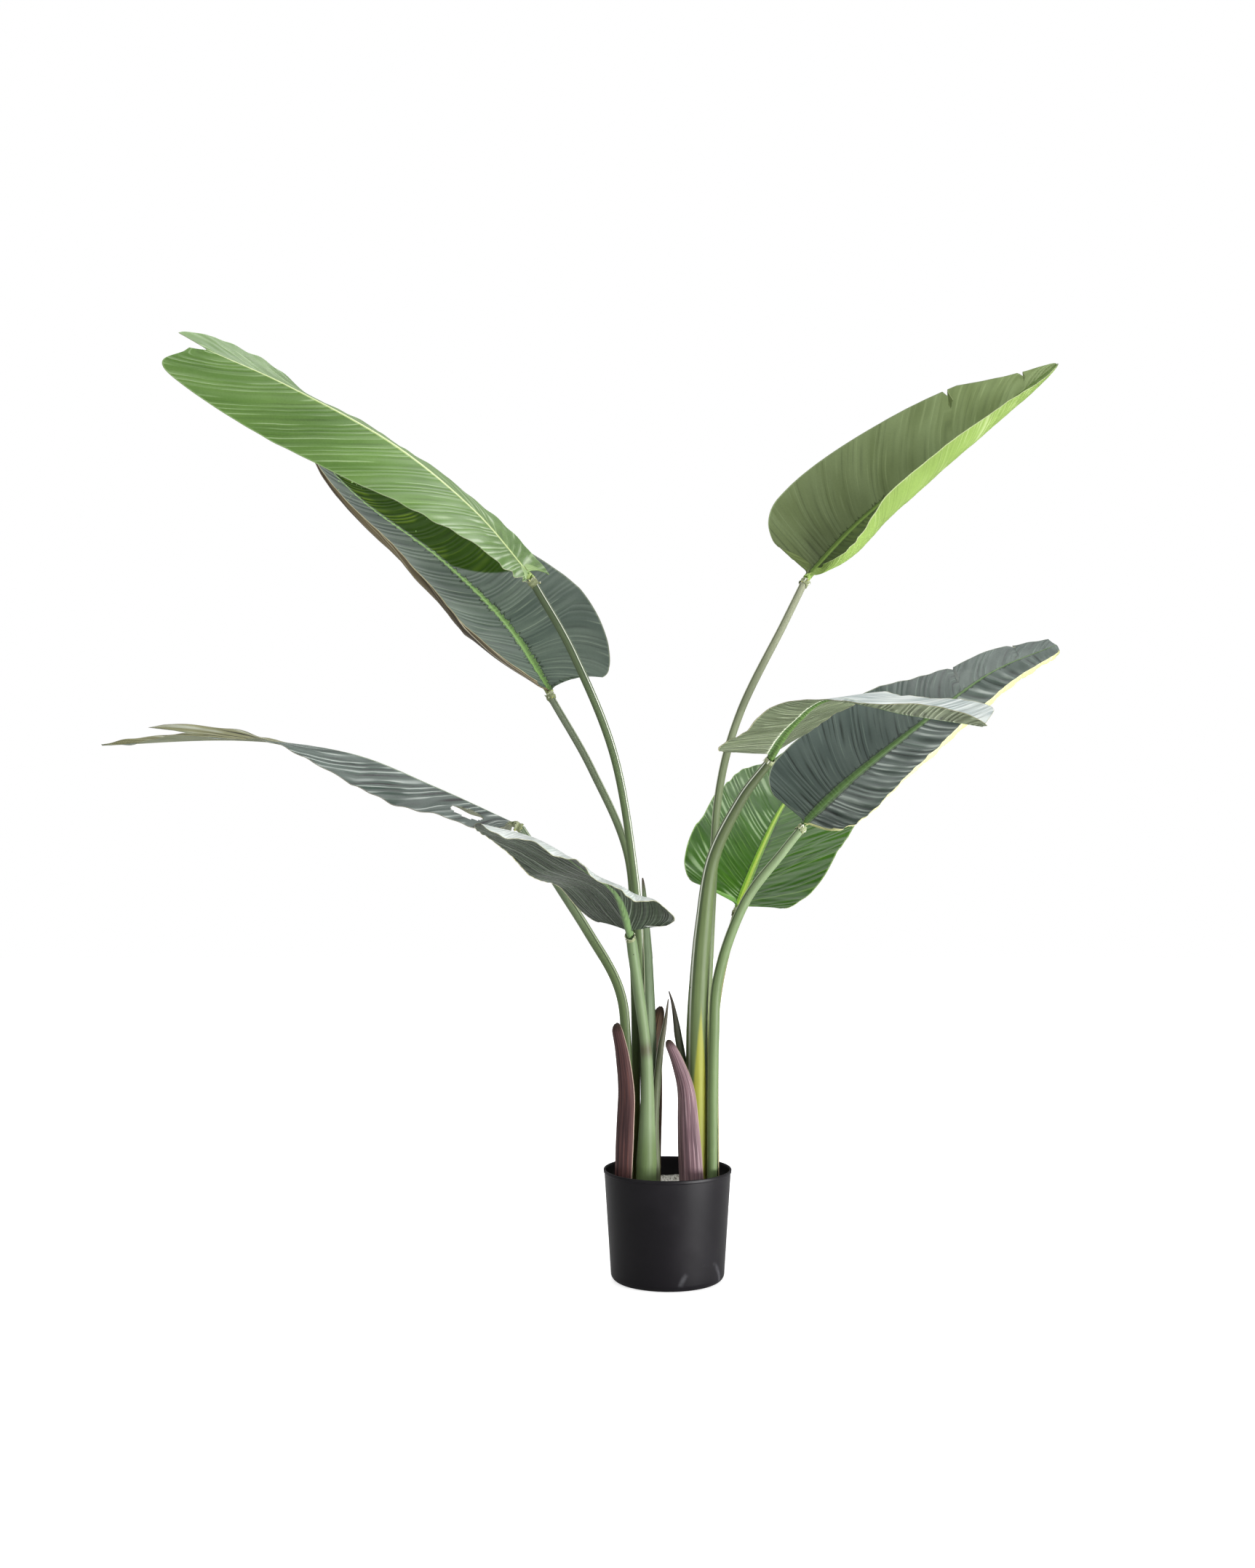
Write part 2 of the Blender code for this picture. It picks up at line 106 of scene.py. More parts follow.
def soft_box(name, place, aim, size, power):
    direction = np.subtract(aim, place)
    flat = math.hypot(direction[0], direction[1])
    tilt = (math.atan2(flat, -direction[2]), 0, math.atan2(direction[1], direction[0]) - math.pi / 2)
    bpy.ops.object.light_add(type="AREA", location=place, rotation=tilt)
    box = bpy.context.object
    box.name = name
    box.data.shape = "RECTANGLE"
    box.data.size, box.data.size_y = size
    box.data.energy = power


def camera_sees(node):
    return source(node, "ShaderNodeLightPath", "Is Camera Ray")


def set_studio():
    soft_box("top_light", (-0.2, 0.5, 3.0), (0, 0, 0.6), (3.4, 2.6), 62)
    soft_box("right_light", (2.2, -1.75, 0.9), (0, 0, 0.6), (2.4, 1.9), 26)
    soft_box("left_light", (-2.4, -2.2, 1.4), (0, 0, 0.6), (1.6, 1.6), 12)
    soft_box("pot_light", (1.02, -0.72, 0.13), (0, 0, 0.07), (0.8, 0.24), 20)
    world = bpy.data.worlds.new("white_paper")
    bpy.context.scene.world = world
    world.use_nodes = True
    paper = world.node_tree.nodes["Background"]
    room = abs(split_up(coords(paper, "Generated"))[2]) * ROOM_OVERHEAD + ROOM_LEVEL
    fill_in(paper, {"Color": WHITE, "Strength": calc("MAXIMUM", room, camera_sees(paper))})


def lay_floor():
    """White paper. Away from the pot it looks as bright as the room, so that no horizon shows."""
    bpy.ops.mesh.primitive_plane_add(size=FLOOR_SIZE)
    floor = bpy.context.object
    floor.name = "floor"
    material, shader = new_material("floor_paper")
    bright = fade(distance(coords(shader)), 0.08, 0.6) * (1 - FLOOR_NEAR) + FLOOR_NEAR
    fill_in(shader, {"Base Color": PAPER, "Roughness": 0.9, "Specular IOR Level": 0.1,
                     "Emission Color": WHITE, "Emission Strength": bright * camera_sees(shader)})
    floor.data.materials.append(material)


# %% [markdown]
# A procedural material is a net of small nodes. These helpers keep the nets short. What comes out of a node
# is a Value, so a sum is written as a plain formula, and every sign in it adds one node. Other helpers make
# a soft step, mix two colours or draw noise. Colours are screen codes, turned into the linear values that a
# shader takes.

# %% Node helpers
class Value:
    """What comes out of a node. Plus, minus and times with it add a node each."""

    def __init__(self, socket):
        self.socket = socket

    def __add__(self, other):
        return calc("ADD", self, other)

    def __sub__(self, other):
        return calc("SUBTRACT", self, other)

    def __rsub__(self, other):
        return calc("SUBTRACT", other, self)

    def __mul__(self, other):
        return calc("MULTIPLY", self, other)

    def __abs__(self):
        return calc("ABSOLUTE", self)


def paint(code):
    parts = [int(code[place:place + 2], 16) / 255 for place in (1, 3, 5)]
    linear = [part / 12.92 if part <= 0.04045 else ((part + 0.055) / 1.055) ** 2.4 for part in parts]
    return (*linear, 1.0)


def fill_in(node, inputs):
    """Links what comes from other nodes, and sets numbers and colours on the node's own inputs."""
    for key, value in inputs.items():
        if isinstance(value, Value):
            node.id_data.links.new(value.socket, node.inputs[key])
        else:
            node.inputs[key].default_value = paint(value) if isinstance(value, str) else value


def add_node(tree, kind, inputs, **settings):
    node = tree.nodes.new(kind)
    for name, value in settings.items():
        setattr(node, name, value)
    fill_in(node, inputs)
    return node


def put(kind, inputs, output=0, **settings):
    """Adds a node to the net of its first linked input."""
    tree = next(value.socket.id_data for value in inputs.values() if isinstance(value, Value))
    return Value(add_node(tree, kind, inputs, **settings).outputs[output])


def calc(operation, *values):
    return put("ShaderNodeMath", dict(enumerate(values)), operation=operation)


def fade(value, low, high):
    """0 at low, 1 at high and a soft step between them."""
    inputs = {"Value": value, "From Min": low, "From Max": high}
    return put("ShaderNodeMapRange", inputs, interpolation_type="SMOOTHSTEP")


def mix(share, first, second, mode="MIX"):
    return put("ShaderNodeMix", {0: share, 6: first, 7: second}, 2, data_type="RGBA", blend_type=mode)


def vector(x, y, z=0.0):
    return put("ShaderNodeCombineXYZ", {0: x, 1: y, 2: z})


def split_up(value):
    node = add_node(value.socket.id_data, "ShaderNodeSeparateXYZ", {0: value})
    return [Value(socket) for socket in node.outputs]


def tint(colour, shade):
    return mix(1.0, colour, vector(shade, shade, shade), "MULTIPLY")


def distance(place):
    return put("ShaderNodeVectorMath", {0: place}, "Value", operation="LENGTH")


def grain(where, scale, detail=2.0):
    """Cloudy noise from 0 to 1."""
    return put("ShaderNodeTexNoise", {"Vector": where, "Scale": scale, "Detail": detail})


def specks(where, scale, edge, share):
    """Round specks, one in the middle of a share of the cells that the space is split into."""
    cells = add_node(where.socket.id_data, "ShaderNodeTexVoronoi", {"Vector": where, "Scale": scale})
    chosen = put("ShaderNodeSeparateColor", {0: Value(cells.outputs["Color"])})
    return fade(Value(cells.outputs["Distance"]), *edge) * calc("GREATER_THAN", chosen, 1 - share)


def bump(height, strength, depth):
    return put("ShaderNodeBump", {"Height": height, "Strength": strength, "Distance": depth})


def source(node, kind, output):
    """An output of a new node that needs no input, in the net of the given node."""
    return Value(add_node(node.id_data, kind, {}).outputs[output])


def coords(node, output="Object"):
    return source(node, "ShaderNodeTexCoord", output)


def new_group(name, inputs, outputs):
    group = bpy.data.node_groups.new(name, "ShaderNodeTree")
    for way, labels in (("INPUT", inputs), ("OUTPUT", outputs)):
        for label in labels:
            group.interface.new_socket(label, in_out=way, socket_type="NodeSocketFloat")
    given = {socket.name: Value(socket) for socket in group.nodes.new("NodeGroupInput").outputs}
    return group, given, group.nodes.new("NodeGroupOutput")


def use_group(shader, group, inputs):
    node = add_node(shader.id_data, "ShaderNodeGroup", inputs, node_tree=group)
    return {socket.name: Value(socket) for socket in node.outputs}


def new_material(name):
    material = bpy.data.materials.new(name)
    material.use_nodes = True
    return material, material.node_tree.nodes["Principled BSDF"]


# %% [markdown]
# The studio stands before the first piece is made, so that every step can be looked at in its final light.
# Its floor is one plain sheet, because the paper under the real plant shows only a faint shadow round the
# pot.

# %% Set the studio
set_studio()
lay_floor()

# %% [markdown]
# All the leaves share one drawing: side veins that leave the midrib and sweep to the edge, a soft pleat for
# each of them, a darker valley between pleats that is painted shade, broad changes of tone, a midrib with a
# feathered border and a thin dry line at the edge. The leaf's own UV map runs across in U and along in V, and
# its rows follow the veins, so a vein is nearly a line of constant V. The group puts out masks, and each
# leaf's material gives them its own colours.

# %% Vein drawing, shared by the leaves
VEIN_INPUTS = ("Count Left", "Count Right", "Sweep Left", "Sweep Right", "Rib Width", "Feather")


def make_vein_drawing():
    outputs = ("Vein", "Valley Shade", "Fold", "Pleat", "Rib", "Core", "Hair", "Margin", "Cloud", "Patch", "Fleck",
               "Across", "Along", "Right", "Height")
    group, given, made = new_group("vein drawing", VEIN_INPUTS, outputs)
    place = coords(made)
    u, v, _ = split_up(coords(made, "UV"))
    even = abs(u - 0.5) * 2.0
    across = calc("POWER", even, 1.5)
    right = calc("GREATER_THAN", u, 0.5)
    cloud = grain(place, 11.0, 3.0)
    patch = grain(place, 22.0, 1.0)
    sweep = right * (given["Sweep Right"] - given["Sweep Left"]) + given["Sweep Left"]
    count = right * (given["Count Right"] - given["Count Left"]) + given["Count Left"]
    row = (v - across * sweep) * count + (cloud - 0.5) * 0.5 + right * 0.43
    row = row + calc("SINE", row * 1.7) * 0.3
    pleat = calc("COSINE", row * (2 * math.pi)) * 0.5 + 0.5
    gap = calc("PINGPONG", row, 0.5)
    far = across * 1.6
    strong = fade(grain(vector(calc("ROUND", row) * 5.7, far, right), 1.0, 1.0), 0.4, 0.62)
    vein = fade(gap, 0.11, 0.02) * strong
    # The valley mask marks the band between two pleats, here and there, which the skins darken: painted shade
    # in the creases.
    deep = fade(grain(vector(calc("FLOOR", row) * 3.3, far, 4.0), 1.0, 1.0), 0.38, 0.66)
    valley = fade(gap, 0.3, 0.5) * deep
    fold = fade(grain(vector(row * 0.33, across * 0.8, right), 1.0, 2.0), 0.3, 0.7)
    spikes = grain(vector(v * 130.0, across * 8.0, right), 1.0, 1.0) - 0.5
    border = given["Rib Width"] * (v * -0.75 + 1.0) + spikes * given["Feather"]
    rib = fade(across, border, border * 0.8)
    core = fade(across, border * 0.5, border * 0.2)
    fringe = calc("MAXIMUM", spikes, 0.0) * 0.3 + border * 1.25
    hair = fade(across, fringe, border) * (1.0 - rib)
    margin = fade(even, 0.986, 0.996)
    fleck = fade(grain(place, 420.0, 1.0), 0.35, 0.65)
    height = pleat + vein * 0.2 + fleck * 0.02
    masks = (vein, valley, fold, pleat, rib, core, hair, margin, cloud, patch, fleck,
             across, v, right, height)
    fill_in(made, dict(zip(outputs, masks)))
    return group


VEIN_DRAWING = make_vein_drawing()

# %% [markdown]
# A leaf's skin takes the drawing and colours it. Each leaf has one skin for its upper face, one for its
# underside and a thin dry edge. The real leaves are printed film with a satin finish. The skin darkens the
# valleys between the pleats with painted shade, and in places lays a white painted sheen, a painted highlight,
# on the crests. A patch on the right half can take another colour: the leaf's own, or painted shade such as
# where a leaf above shades it, or painted light. It covers what lies beyond a slanted edge across the half, or
# the whole half.

# %% Leaf skins
WHOLE_HALF = (-1.0, 0.0, 0.0)


@dataclass
class Skin:
    dark: str
    light: str
    vein: str
    rib: str
    margin: str
    count: tuple = (60.0, 60.0)
    sweep: tuple = (0.06, 0.06)
    vein_share: float = 0.5
    valley_shade: float = 0.3
    rib_width: float = 0.05
    feather: float = 0.01
    core: str = ""
    hair: str = ""
    base_tone: float = 1.0
    tip_tone: float = 1.0
    patch: str = ""
    patch_vein: str = ""
    patch_edge: tuple = WHOLE_HALF
    patch_start: float = -1.0
    sheen: str = ""
    sheen_share: float = 0.0
    sheen_span: tuple = (0.0, 1.0)
    sheen_side: float = 0.5
    rough: float = 0.42
    relief: float = 0.5
    gloss: float = 0.3


def leaf_skin(name, skin):
    material, shader = new_material(name)
    inputs = (*skin.count, *skin.sweep, skin.rib_width, skin.feather)
    masks = use_group(shader, VEIN_DRAWING, dict(zip(VEIN_INPUTS, inputs)))
    across, along = masks["Across"], masks["Along"]
    vein = masks["Vein"] * skin.vein_share
    gloss = skin.gloss
    colour = mix(vein, mix(masks["Fold"], skin.dark, skin.light), skin.vein)
    # The patch recolours the right half: on some leaves with their own colour, on others with painted shade
    # where a leaf above shades it, or painted light where light shines through.
    if skin.patch:
        low, start, slope = skin.patch_edge
        limit = calc("MAXIMUM", (start - along) * slope + low, low)
        where = fade(across - limit, -0.02, 0.02) * masks["Right"]
        where = where * fade(along - skin.patch_start, -0.01, 0.05)
        streak = fade(masks["Patch"], 0.52, 0.68) * masks["Pleat"]
        colour = mix(where, colour, mix(streak * 0.4 + vein * 0.35, skin.patch, skin.patch_vein))
        gloss = where * (-0.8 * skin.gloss) + skin.gloss
    # The sheen is a painted highlight: a pale colour laid on the crests of the pleats, in a span along the
    # leaf and on one half.
    if skin.sheen_share:
        low, high = skin.sheen_span
        span = fade(along, low, low + 0.08) * fade(along, high, high - 0.12)
        side = fade(abs(masks["Right"] - skin.sheen_side), 0.8, 0.6)
        crest = fade(masks["Pleat"], 0.45, 1.0) * fade(masks["Patch"], 0.4, 0.62)
        colour = mix(span * side * crest * skin.sheen_share, colour, skin.sheen)
    tone = along * (skin.tip_tone - skin.base_tone) + (skin.base_tone - 0.2) + masks["Cloud"] * 0.4
    # Taking away the valley mask darkens the valleys between the pleats: painted shade.
    colour = tint(colour, tone + masks["Fleck"] * 0.06 - masks["Valley Shade"] * skin.valley_shade)
    if skin.hair:
        colour = mix(masks["Hair"] * 0.85, colour, skin.hair)
    colour = mix(masks["Rib"], colour, skin.rib)
    colour = mix(masks["Core"], colour, skin.core or skin.rib)
    colour = mix(masks["Margin"], colour, skin.margin)
    fill_in(shader, {"Base Color": colour, "Roughness": masks["Fleck"] * 0.12 + (skin.rough - 0.06),
                     "Specular IOR Level": gloss, "Normal": bump(masks["Height"], skin.relief, 0.0008)})
    return material


# %% [markdown]
# A smooth way through a few given points is the backbone of leaves, stems and husks. The points are
# joined by a curve that passes through each of them, and places on it are read by their share of its length.
# Beyond its ends it goes on straight, which lets a leaf's lobes hang back past the place where the blade
# begins.

# %% Smooth ways
END_MARGIN = 0.02
DIRECTION_REACH = 0.019


class Way:
    def __init__(self, points, samples=40):
        points = np.array(points, float) * MM
        ends = np.vstack([2 * points[0] - points[1], points, 2 * points[-1] - points[-2]])
        t = np.linspace(0, 1, samples, endpoint=False)[:, None]
        parts = []
        for a, b, c, d in zip(ends, ends[1:], ends[2:], ends[3:]):
            cubic = (3 * b - a - 3 * c + d) * t ** 3
            parts.append(0.5 * (2 * b + (c - a) * t + (2 * a - 5 * b + 4 * c - d) * t ** 2 + cubic))
        self.points = np.vstack([*parts, points[-1:]])
        steps = np.linalg.norm(np.diff(self.points, axis=0), axis=1)
        self.reach = np.concatenate([[0.0], np.cumsum(steps)])
        self.length = self.reach[-1]

    def on_curve(self, share):
        target = np.clip(share, 0, 1) * self.length
        return np.stack([np.interp(target, self.reach, self.points[:, axis]) for axis in range(3)], axis=-1)

    def direction(self, share):
        centre = np.clip(share, END_MARGIN, 1 - END_MARGIN)
        return unit(self.on_curve(centre + DIRECTION_REACH) - self.on_curve(centre - DIRECTION_REACH))

    def point(self, share):
        beyond = (share - np.clip(share, 0, 1)) * self.length
        return self.on_curve(share) + beyond[..., None] * self.direction(share)


def unit(vectors):
    return vectors / np.linalg.norm(vectors, axis=-1, keepdims=True)


def axes(way, share):
    """The directions along, to the right of and above a way."""
    along = way.direction(share)
    right = unit(np.cross(along, UP))
    return along, right, np.cross(right, along)


def stations(values, share):
    return np.interp(share, np.linspace(0, 1, len(values)), values)


# %% [markdown]
# The leaves' sizes are those of the frame, given again because this script can't read the file that made it.
# A midrib has five points. Each half of a blade has its slopes at the rib and at the edge, in degrees above
# level, at even steps from base to tip, and tears where the photograph shows them. Half widths, waves and
# ruffles are in millimetres, and what lies along a leaf is a share of its length.

# %% Leaf shapes
@dataclass
class Blade:
    rib_slope: tuple
    edge_slope: tuple
    spread: tuple = (1, 1, 1, 1, 1)
    tears: tuple = ()
    split: tuple = ()
    hole: tuple = ()
    taper: float = 1.4
    tip_reach: float = 1.0
    tip_width: float = 0.03
    tip_round: float = 0.0
    neck: float = 0.02
    base_reach: float = 0.018
    start_width: float = 0.6
    wave: float = 1.0
    wave_phase: float = 0.0
    ruffle: tuple = (1.6, 1.6, 1.6)
    pleat: float = 0.7
    curl: float = 1.0


@dataclass
class Leaf:
    midrib: tuple
    half_width: float
    left: Blade
    right: Blade
    widest: float = 0.11


LEAVES = {
    "leaf_left_upper": Leaf(
        midrib=((-167, -62, 878), (-238, -84, 961), (-334, -110, 1038), (-453, -134, 1101),
                (-550, -150, 1142)),
        half_width=92,
        left=Blade((-14, -31, -52, -58, -58), (-27, -46, -68, -78, -72), spread=(1, 0.94, 0.92, 0.96, 1.0),
                   taper=4, tip_reach=1.17, tip_width=0.08, tip_round=0.13, neck=0.05, base_reach=0.02,
                   start_width=0.7, ruffle=(4, 0.5, 0.3), pleat=0.1),
        right=Blade((30, 20, 13, 12, 38), (30, 20, 13, 12, 38), taper=2.4, tip_reach=1.08, tip_width=0.1,
                    neck=0.04, base_reach=-0.03, start_width=0.8, wave_phase=1.4, ruffle=(0.5, 1, 1.2),
                    pleat=0.4)),
    "leaf_left_middle": Leaf(
        midrib=((-148, 30, 741), (-207, 60, 833), (-294, 95, 920), (-402, 128, 1002), (-471, 150, 1071)),
        half_width=104, widest=0.2,
        left=Blade((4, -48, -58, -50, -40), (40, 66, 80, 88, 84), spread=(0.82, 0.93, 0.98, 1.01, 1.1),
                   taper=1.2, curl=2.2, base_reach=0.03, start_width=0.4, wave_phase=0.8,
                   ruffle=(0.5, 0.5, 0.5), pleat=0.02),
        right=Blade((70, 62, 50, 48, 45), (75, 66, 54, 50, 48), spread=(1.08, 0.98, 0.89, 1, 1), taper=1.2,
                    base_reach=-0.04, wave_phase=2.2, ruffle=(1, 1, 1), pleat=0.15)),
    "leaf_left_front": Leaf(
        midrib=((-47, -38, 438), (-65, -110, 494), (-102, -190, 527), (-151, -275, 564), (-210, -370, 584)),
        half_width=73, widest=0.28,
        left=Blade((5, -6, -18, -21, -22), (-8, -27, -38, -31, -26), spread=(1.12, 1, 1, 1, 1), neck=0.05,
                   base_reach=0.06, start_width=0.5, wave=3.4, wave_phase=0.2, ruffle=(0.5, 0.8, 1),
                   pleat=0.15),
        right=Blade((24, 8, -8, -10, -5), (14, -2, -18, -15, -10), neck=0.04, wave=0.3, wave_phase=1.1,
                    ruffle=(0.3, 0.4, 0.8), pleat=0.2)),
    "leaf_left_low": Leaf(
        midrib=((-191, 32, 574), (-296, 38, 622), (-409, 44, 666), (-550, 48, 683), (-729, 52, 676)),
        half_width=88,
        left=Blade((-4, -14, -22, -26, -8, 0, 5, 5, 2), (-10, -20, -26, -34, -14, 0, 5, 5, 2), taper=1.2,
                   wave=3, wave_phase=0.5, ruffle=(1.6, 1.4, 1), pleat=0.3, hole=(0.185, 0.52, 0.055, 0.19)),
        right=Blade((-8, -8, -8, -6, -5, 4, 20, 32, 26), (-20, -17, -15, -12, -10, 4, 22, 34, 26),
                    split=(0.81, 0.4, 0.13), taper=1.2, wave_phase=2.6, pleat=0.3)),
    "leaf_right_upper": Leaf(
        midrib=((175, 20, 886), (245, 66, 962), (343, 120, 1047), (449, 172, 1131), (540, 216, 1204)),
        half_width=92,
        left=Blade((60, 65, 65, 65, 60), (75, 80, 78, 72, 65), spread=(0.97, 1.06, 1.1, 1.15, 0.5),
                   neck=0.045, tears=((0.715, 0.3), (0.91, 0.5)), taper=1.3, wave=0.5, wave_phase=0.9,
                   ruffle=(0.5, 0.5, 0.5), pleat=0.2),
        right=Blade((-34, -50, -55, -52, -45), (48, 90, 94, 82, 45), spread=(0.7, 1, 1.06, 1.06, 1),
                    taper=1.3, neck=0.05, base_reach=0.05, start_width=0.3, wave_phase=1.9,
                    ruffle=(1.2, 0.8, 0.8), pleat=0.2)),
    "leaf_right_middle": Leaf(
        midrib=((166, -34, 573), (233, 4, 632), (323, 54, 699), (427, 106, 772), (525, 150, 813)),
        half_width=92,
        left=Blade((48, 48, 48, 48, 42, 24, 14, 18, 14), (56, 56, 56, 54, 46, 26, 14, 18, 14),
                   spread=(0.85, 0.95, 1, 1, 1), neck=0.03, taper=1.6, tears=((0.75, 0.35), (0.91, 0.3)),
                   tip_width=0.3, tip_reach=1.02, wave=0.5, wave_phase=0.1, ruffle=(0.8, 0.8, 0.8),
                   pleat=0.3),
        right=Blade((-18, -22, -28, -34, -36), (26, 50, 76, 80, 74), curl=3.4, taper=1.6, tip_width=0.25,
                    tip_reach=0.97, wave=0.5, wave_phase=2.9, ruffle=(1.6, 0.6, 0.4), pleat=1.8)),
    "leaf_right_front": Leaf(
        midrib=((125, -58, 658), (151, -110, 699), (191, -175, 727), (261, -255, 706), (338, -330, 689)),
        half_width=95,
        left=Blade((30, 14, 4, 17, 34), (26, 8, 6, 21, 38), spread=(0.5, 0.8, 1, 1, 1), neck=0.05,
                   tip_width=0.3, tip_reach=0.99, base_reach=0.05, wave=0.5, wave_phase=1.6,
                   ruffle=(0.6, 0.4, 0.4), pleat=0.3),
        right=Blade((-4, -13, -2, 10, 35), (-6, -17, 0, 14, 39), tip_reach=1.02, neck=0.05, base_reach=0.07,
                    start_width=0.8, wave=0.5, wave_phase=0.7, ruffle=(0.6, 0.4, 0.4), pleat=0.3)),
    "leaf_right_back": Leaf(
        midrib=((90, 40, 464), (126, 120, 537), (162, 200, 596), (208, 280, 647), (284, 360, 698)),
        half_width=104, widest=0.24,
        left=Blade((40, 36, 28, 15, 5), (34, 28, 18, 5, 0), spread=(1, 0.86, 0.92, 1, 1), neck=0.035,
                   taper=1.8, wave=2, wave_phase=2.0),
        right=Blade((2, 0, 0, 0, 0), (-8, -12, -12, -10, -5), spread=(0.9, 0.98, 1.2, 1.3, 1.3), taper=1.8,
                    wave_phase=0.4, ruffle=(1, 0.5, 0.5))),
}

# %% [markdown]
# The outline of a half-blade has a rounded lobe at the base, its full width soon after, and a long taper. A
# tear is a narrow notch that runs in along a vein. A split is a longer one: the piece before it ends in a
# thin sliver that points to the tip, and the half is narrower past it.

# %% Outline of a half-blade
LOBE_ROWS = 0.2
TEAR_HALF_WIDTH = 0.006
TAPER_ROUND = 0.6
TIP_START = 0.86
SLIVER_LENGTH = 0.12


def outline(leaf, blade, share):
    turn = np.clip(share / LOBE_ROWS, 0, 1) * math.pi / 2
    lobe_reach = blade.base_reach + (leaf.widest - blade.base_reach) * (1 - np.cos(turn))
    lobe_width = blade.start_width + (1 - blade.start_width) * np.sin(turn)
    past = np.clip((share - LOBE_ROWS) / (1 - LOBE_ROWS), 0, 1)
    reach = np.where(past > 0, leaf.widest + (blade.tip_reach - leaf.widest) * past, lobe_reach)
    reach = reach - blade.tip_round * np.clip((past - TIP_START) / (1 - TIP_START), 0, 1) ** 3
    long_width = blade.tip_width + (1 - blade.tip_width) * (1 - past ** blade.taper) ** TAPER_ROUND
    width = np.where(past > 0, long_width, lobe_width) * stations(blade.spread, share)
    if blade.split:
        place, depth, sliver = blade.split
        near = np.clip((share - place) / SLIVER_LENGTH + 1, 0, 1) ** 2
        reach = np.where(share > place, reach, reach + sliver * near)
        width = np.where(share > place, width * (1 - depth), width)
    for place, depth in blade.tears:
        width = width * (1 - depth * np.clip(1 - np.abs(share - place) / TEAR_HALF_WIDTH, 0, 1))
    return reach, width


# %% [markdown]
# The surface of a half-blade is a set of bent lines. Each line leaves the midrib, sweeps toward the tip as a
# vein does, and turns from the slope at the rib to the slope at the edge. On that go the pleats between the
# veins, a slow wave that grows toward the edge, and a short ruffle that only the edge has.

# %% Surface of a half-blade
VEIN_SWEEP = 0.14
VEIN_BEND = 1.4
FIRST_ROWS = 24
LOBE_SPREAD = 0.3
NECK_WIDTH = 0.12
NECK_BEND = 0.7
ARC_STEPS = 8
PLEATS = 12
PLEAT_HEIGHT = 0.0008
FINE_PLEATS = 36
FINE_PLEAT_HEIGHT = 0.0004
FINE_PLEAT_SWEEP = 2.2
WAVES = 5.0
RUFFLES = 17.0
BEATS = 3.3


def half_blade(leaf, way, blade, side, shares, columns):
    reach, width = outline(leaf, blade, shares)
    share = shares[:, None]
    column = columns[None, :]
    rib_share = share - VEIN_SWEEP * np.sin(math.pi * share)
    first_row = np.clip(1 - share * FIRST_ROWS, 0, 1)
    late = np.clip((column - LOBE_SPREAD) / (1 - LOBE_SPREAD), 0, 1)
    place = rib_share + (reach[:, None] - rib_share) * column ** VEIN_BEND
    neck = blade.neck * np.clip(column / NECK_WIDTH, 0, 1) ** NECK_BEND
    first_place = neck + (blade.base_reach - neck) * late ** VEIN_BEND
    place = first_row * first_place + (1 - first_row) * place
    _, right, up = axes(way, place)
    rib = np.radians(stations(blade.rib_slope, place))
    turn = np.radians(stations(blade.edge_slope, place)) - rib
    stretch = leaf.half_width * MM * width[:, None] * column / ARC_STEPS
    points = way.point(place)
    for step in range(ARC_STEPS):
        slope = (rib + turn * (column * (step + 0.5) / ARC_STEPS) ** blade.curl)[..., None]
        points = points + (right * side * np.cos(slope) + up * np.sin(slope)) * stretch[..., None]
    slope = (rib + turn * column ** blade.curl)[..., None]
    lift = up * np.cos(slope) - right * side * np.sin(slope)
    calm_base = np.sin(math.pi * np.minimum(share * 3 + 0.1, 0.5))
    wave = blade.wave * MM * column ** 2 * np.sin(2 * math.pi * WAVES * share + blade.wave_phase)
    inner = np.minimum(1.0, column * 3) * (1 - 0.7 * column ** 4) * blade.pleat
    pleat = PLEAT_HEIGHT * inner * np.cos(2 * math.pi * PLEATS * share)
    lag = FINE_PLEAT_SWEEP * column + blade.wave_phase
    fine = FINE_PLEAT_HEIGHT * inner * np.cos(2 * math.pi * FINE_PLEATS * share + lag)
    beat = 0.6 + 0.4 * np.sin(2 * math.pi * BEATS * share + blade.wave_phase * 2)
    strength = stations(blade.ruffle, share) * MM
    ruffle = strength * column ** 4 * beat * np.sin(2 * math.pi * RUFFLES * share)
    return points + lift * ((wave + pleat + fine + ruffle) * calm_base)[..., None]


# %% [markdown]
# Every leaf starts as a flat grid, the way a leaf is cut from film: the primitive brings its own UV map,
# with U across and V along, and the map stays when the points are moved onto the leaf's surface. Its columns
# are crowded toward the midrib, where the leaf has its keel below and its channel above.

# %% Grids
TOUCHING = 0.000002


def lay_grid(name, places):
    """A grid of faces through the given places, row by row."""
    places = np.array(places, dtype=np.float32)
    bpy.ops.object.select_all(action="DESELECT")
    bpy.ops.mesh.primitive_grid_add(x_subdivisions=places.shape[1] - 1, y_subdivisions=places.shape[0] - 1,
                                    size=1, calc_uvs=True)
    piece = bpy.context.object
    piece.name = name
    piece.data.name = name
    piece.data.vertices.foreach_set("co", places.ravel())
    piece.data.update()
    return piece


def mend(merge=0.0, fill=False):
    """Merges points that touch, fills open ends and turns the faces outward."""
    bpy.ops.object.mode_set(mode="EDIT")
    bpy.ops.mesh.select_all(action="SELECT")
    if merge:
        bpy.ops.mesh.remove_doubles(threshold=merge)
    if fill:
        bpy.ops.mesh.fill_holes(sides=0)
    bpy.ops.mesh.normals_make_consistent(inside=False)
    bpy.ops.object.mode_set(mode="OBJECT")


def smooth(angle=50):
    bpy.ops.object.shade_smooth_by_angle(angle=math.radians(angle))


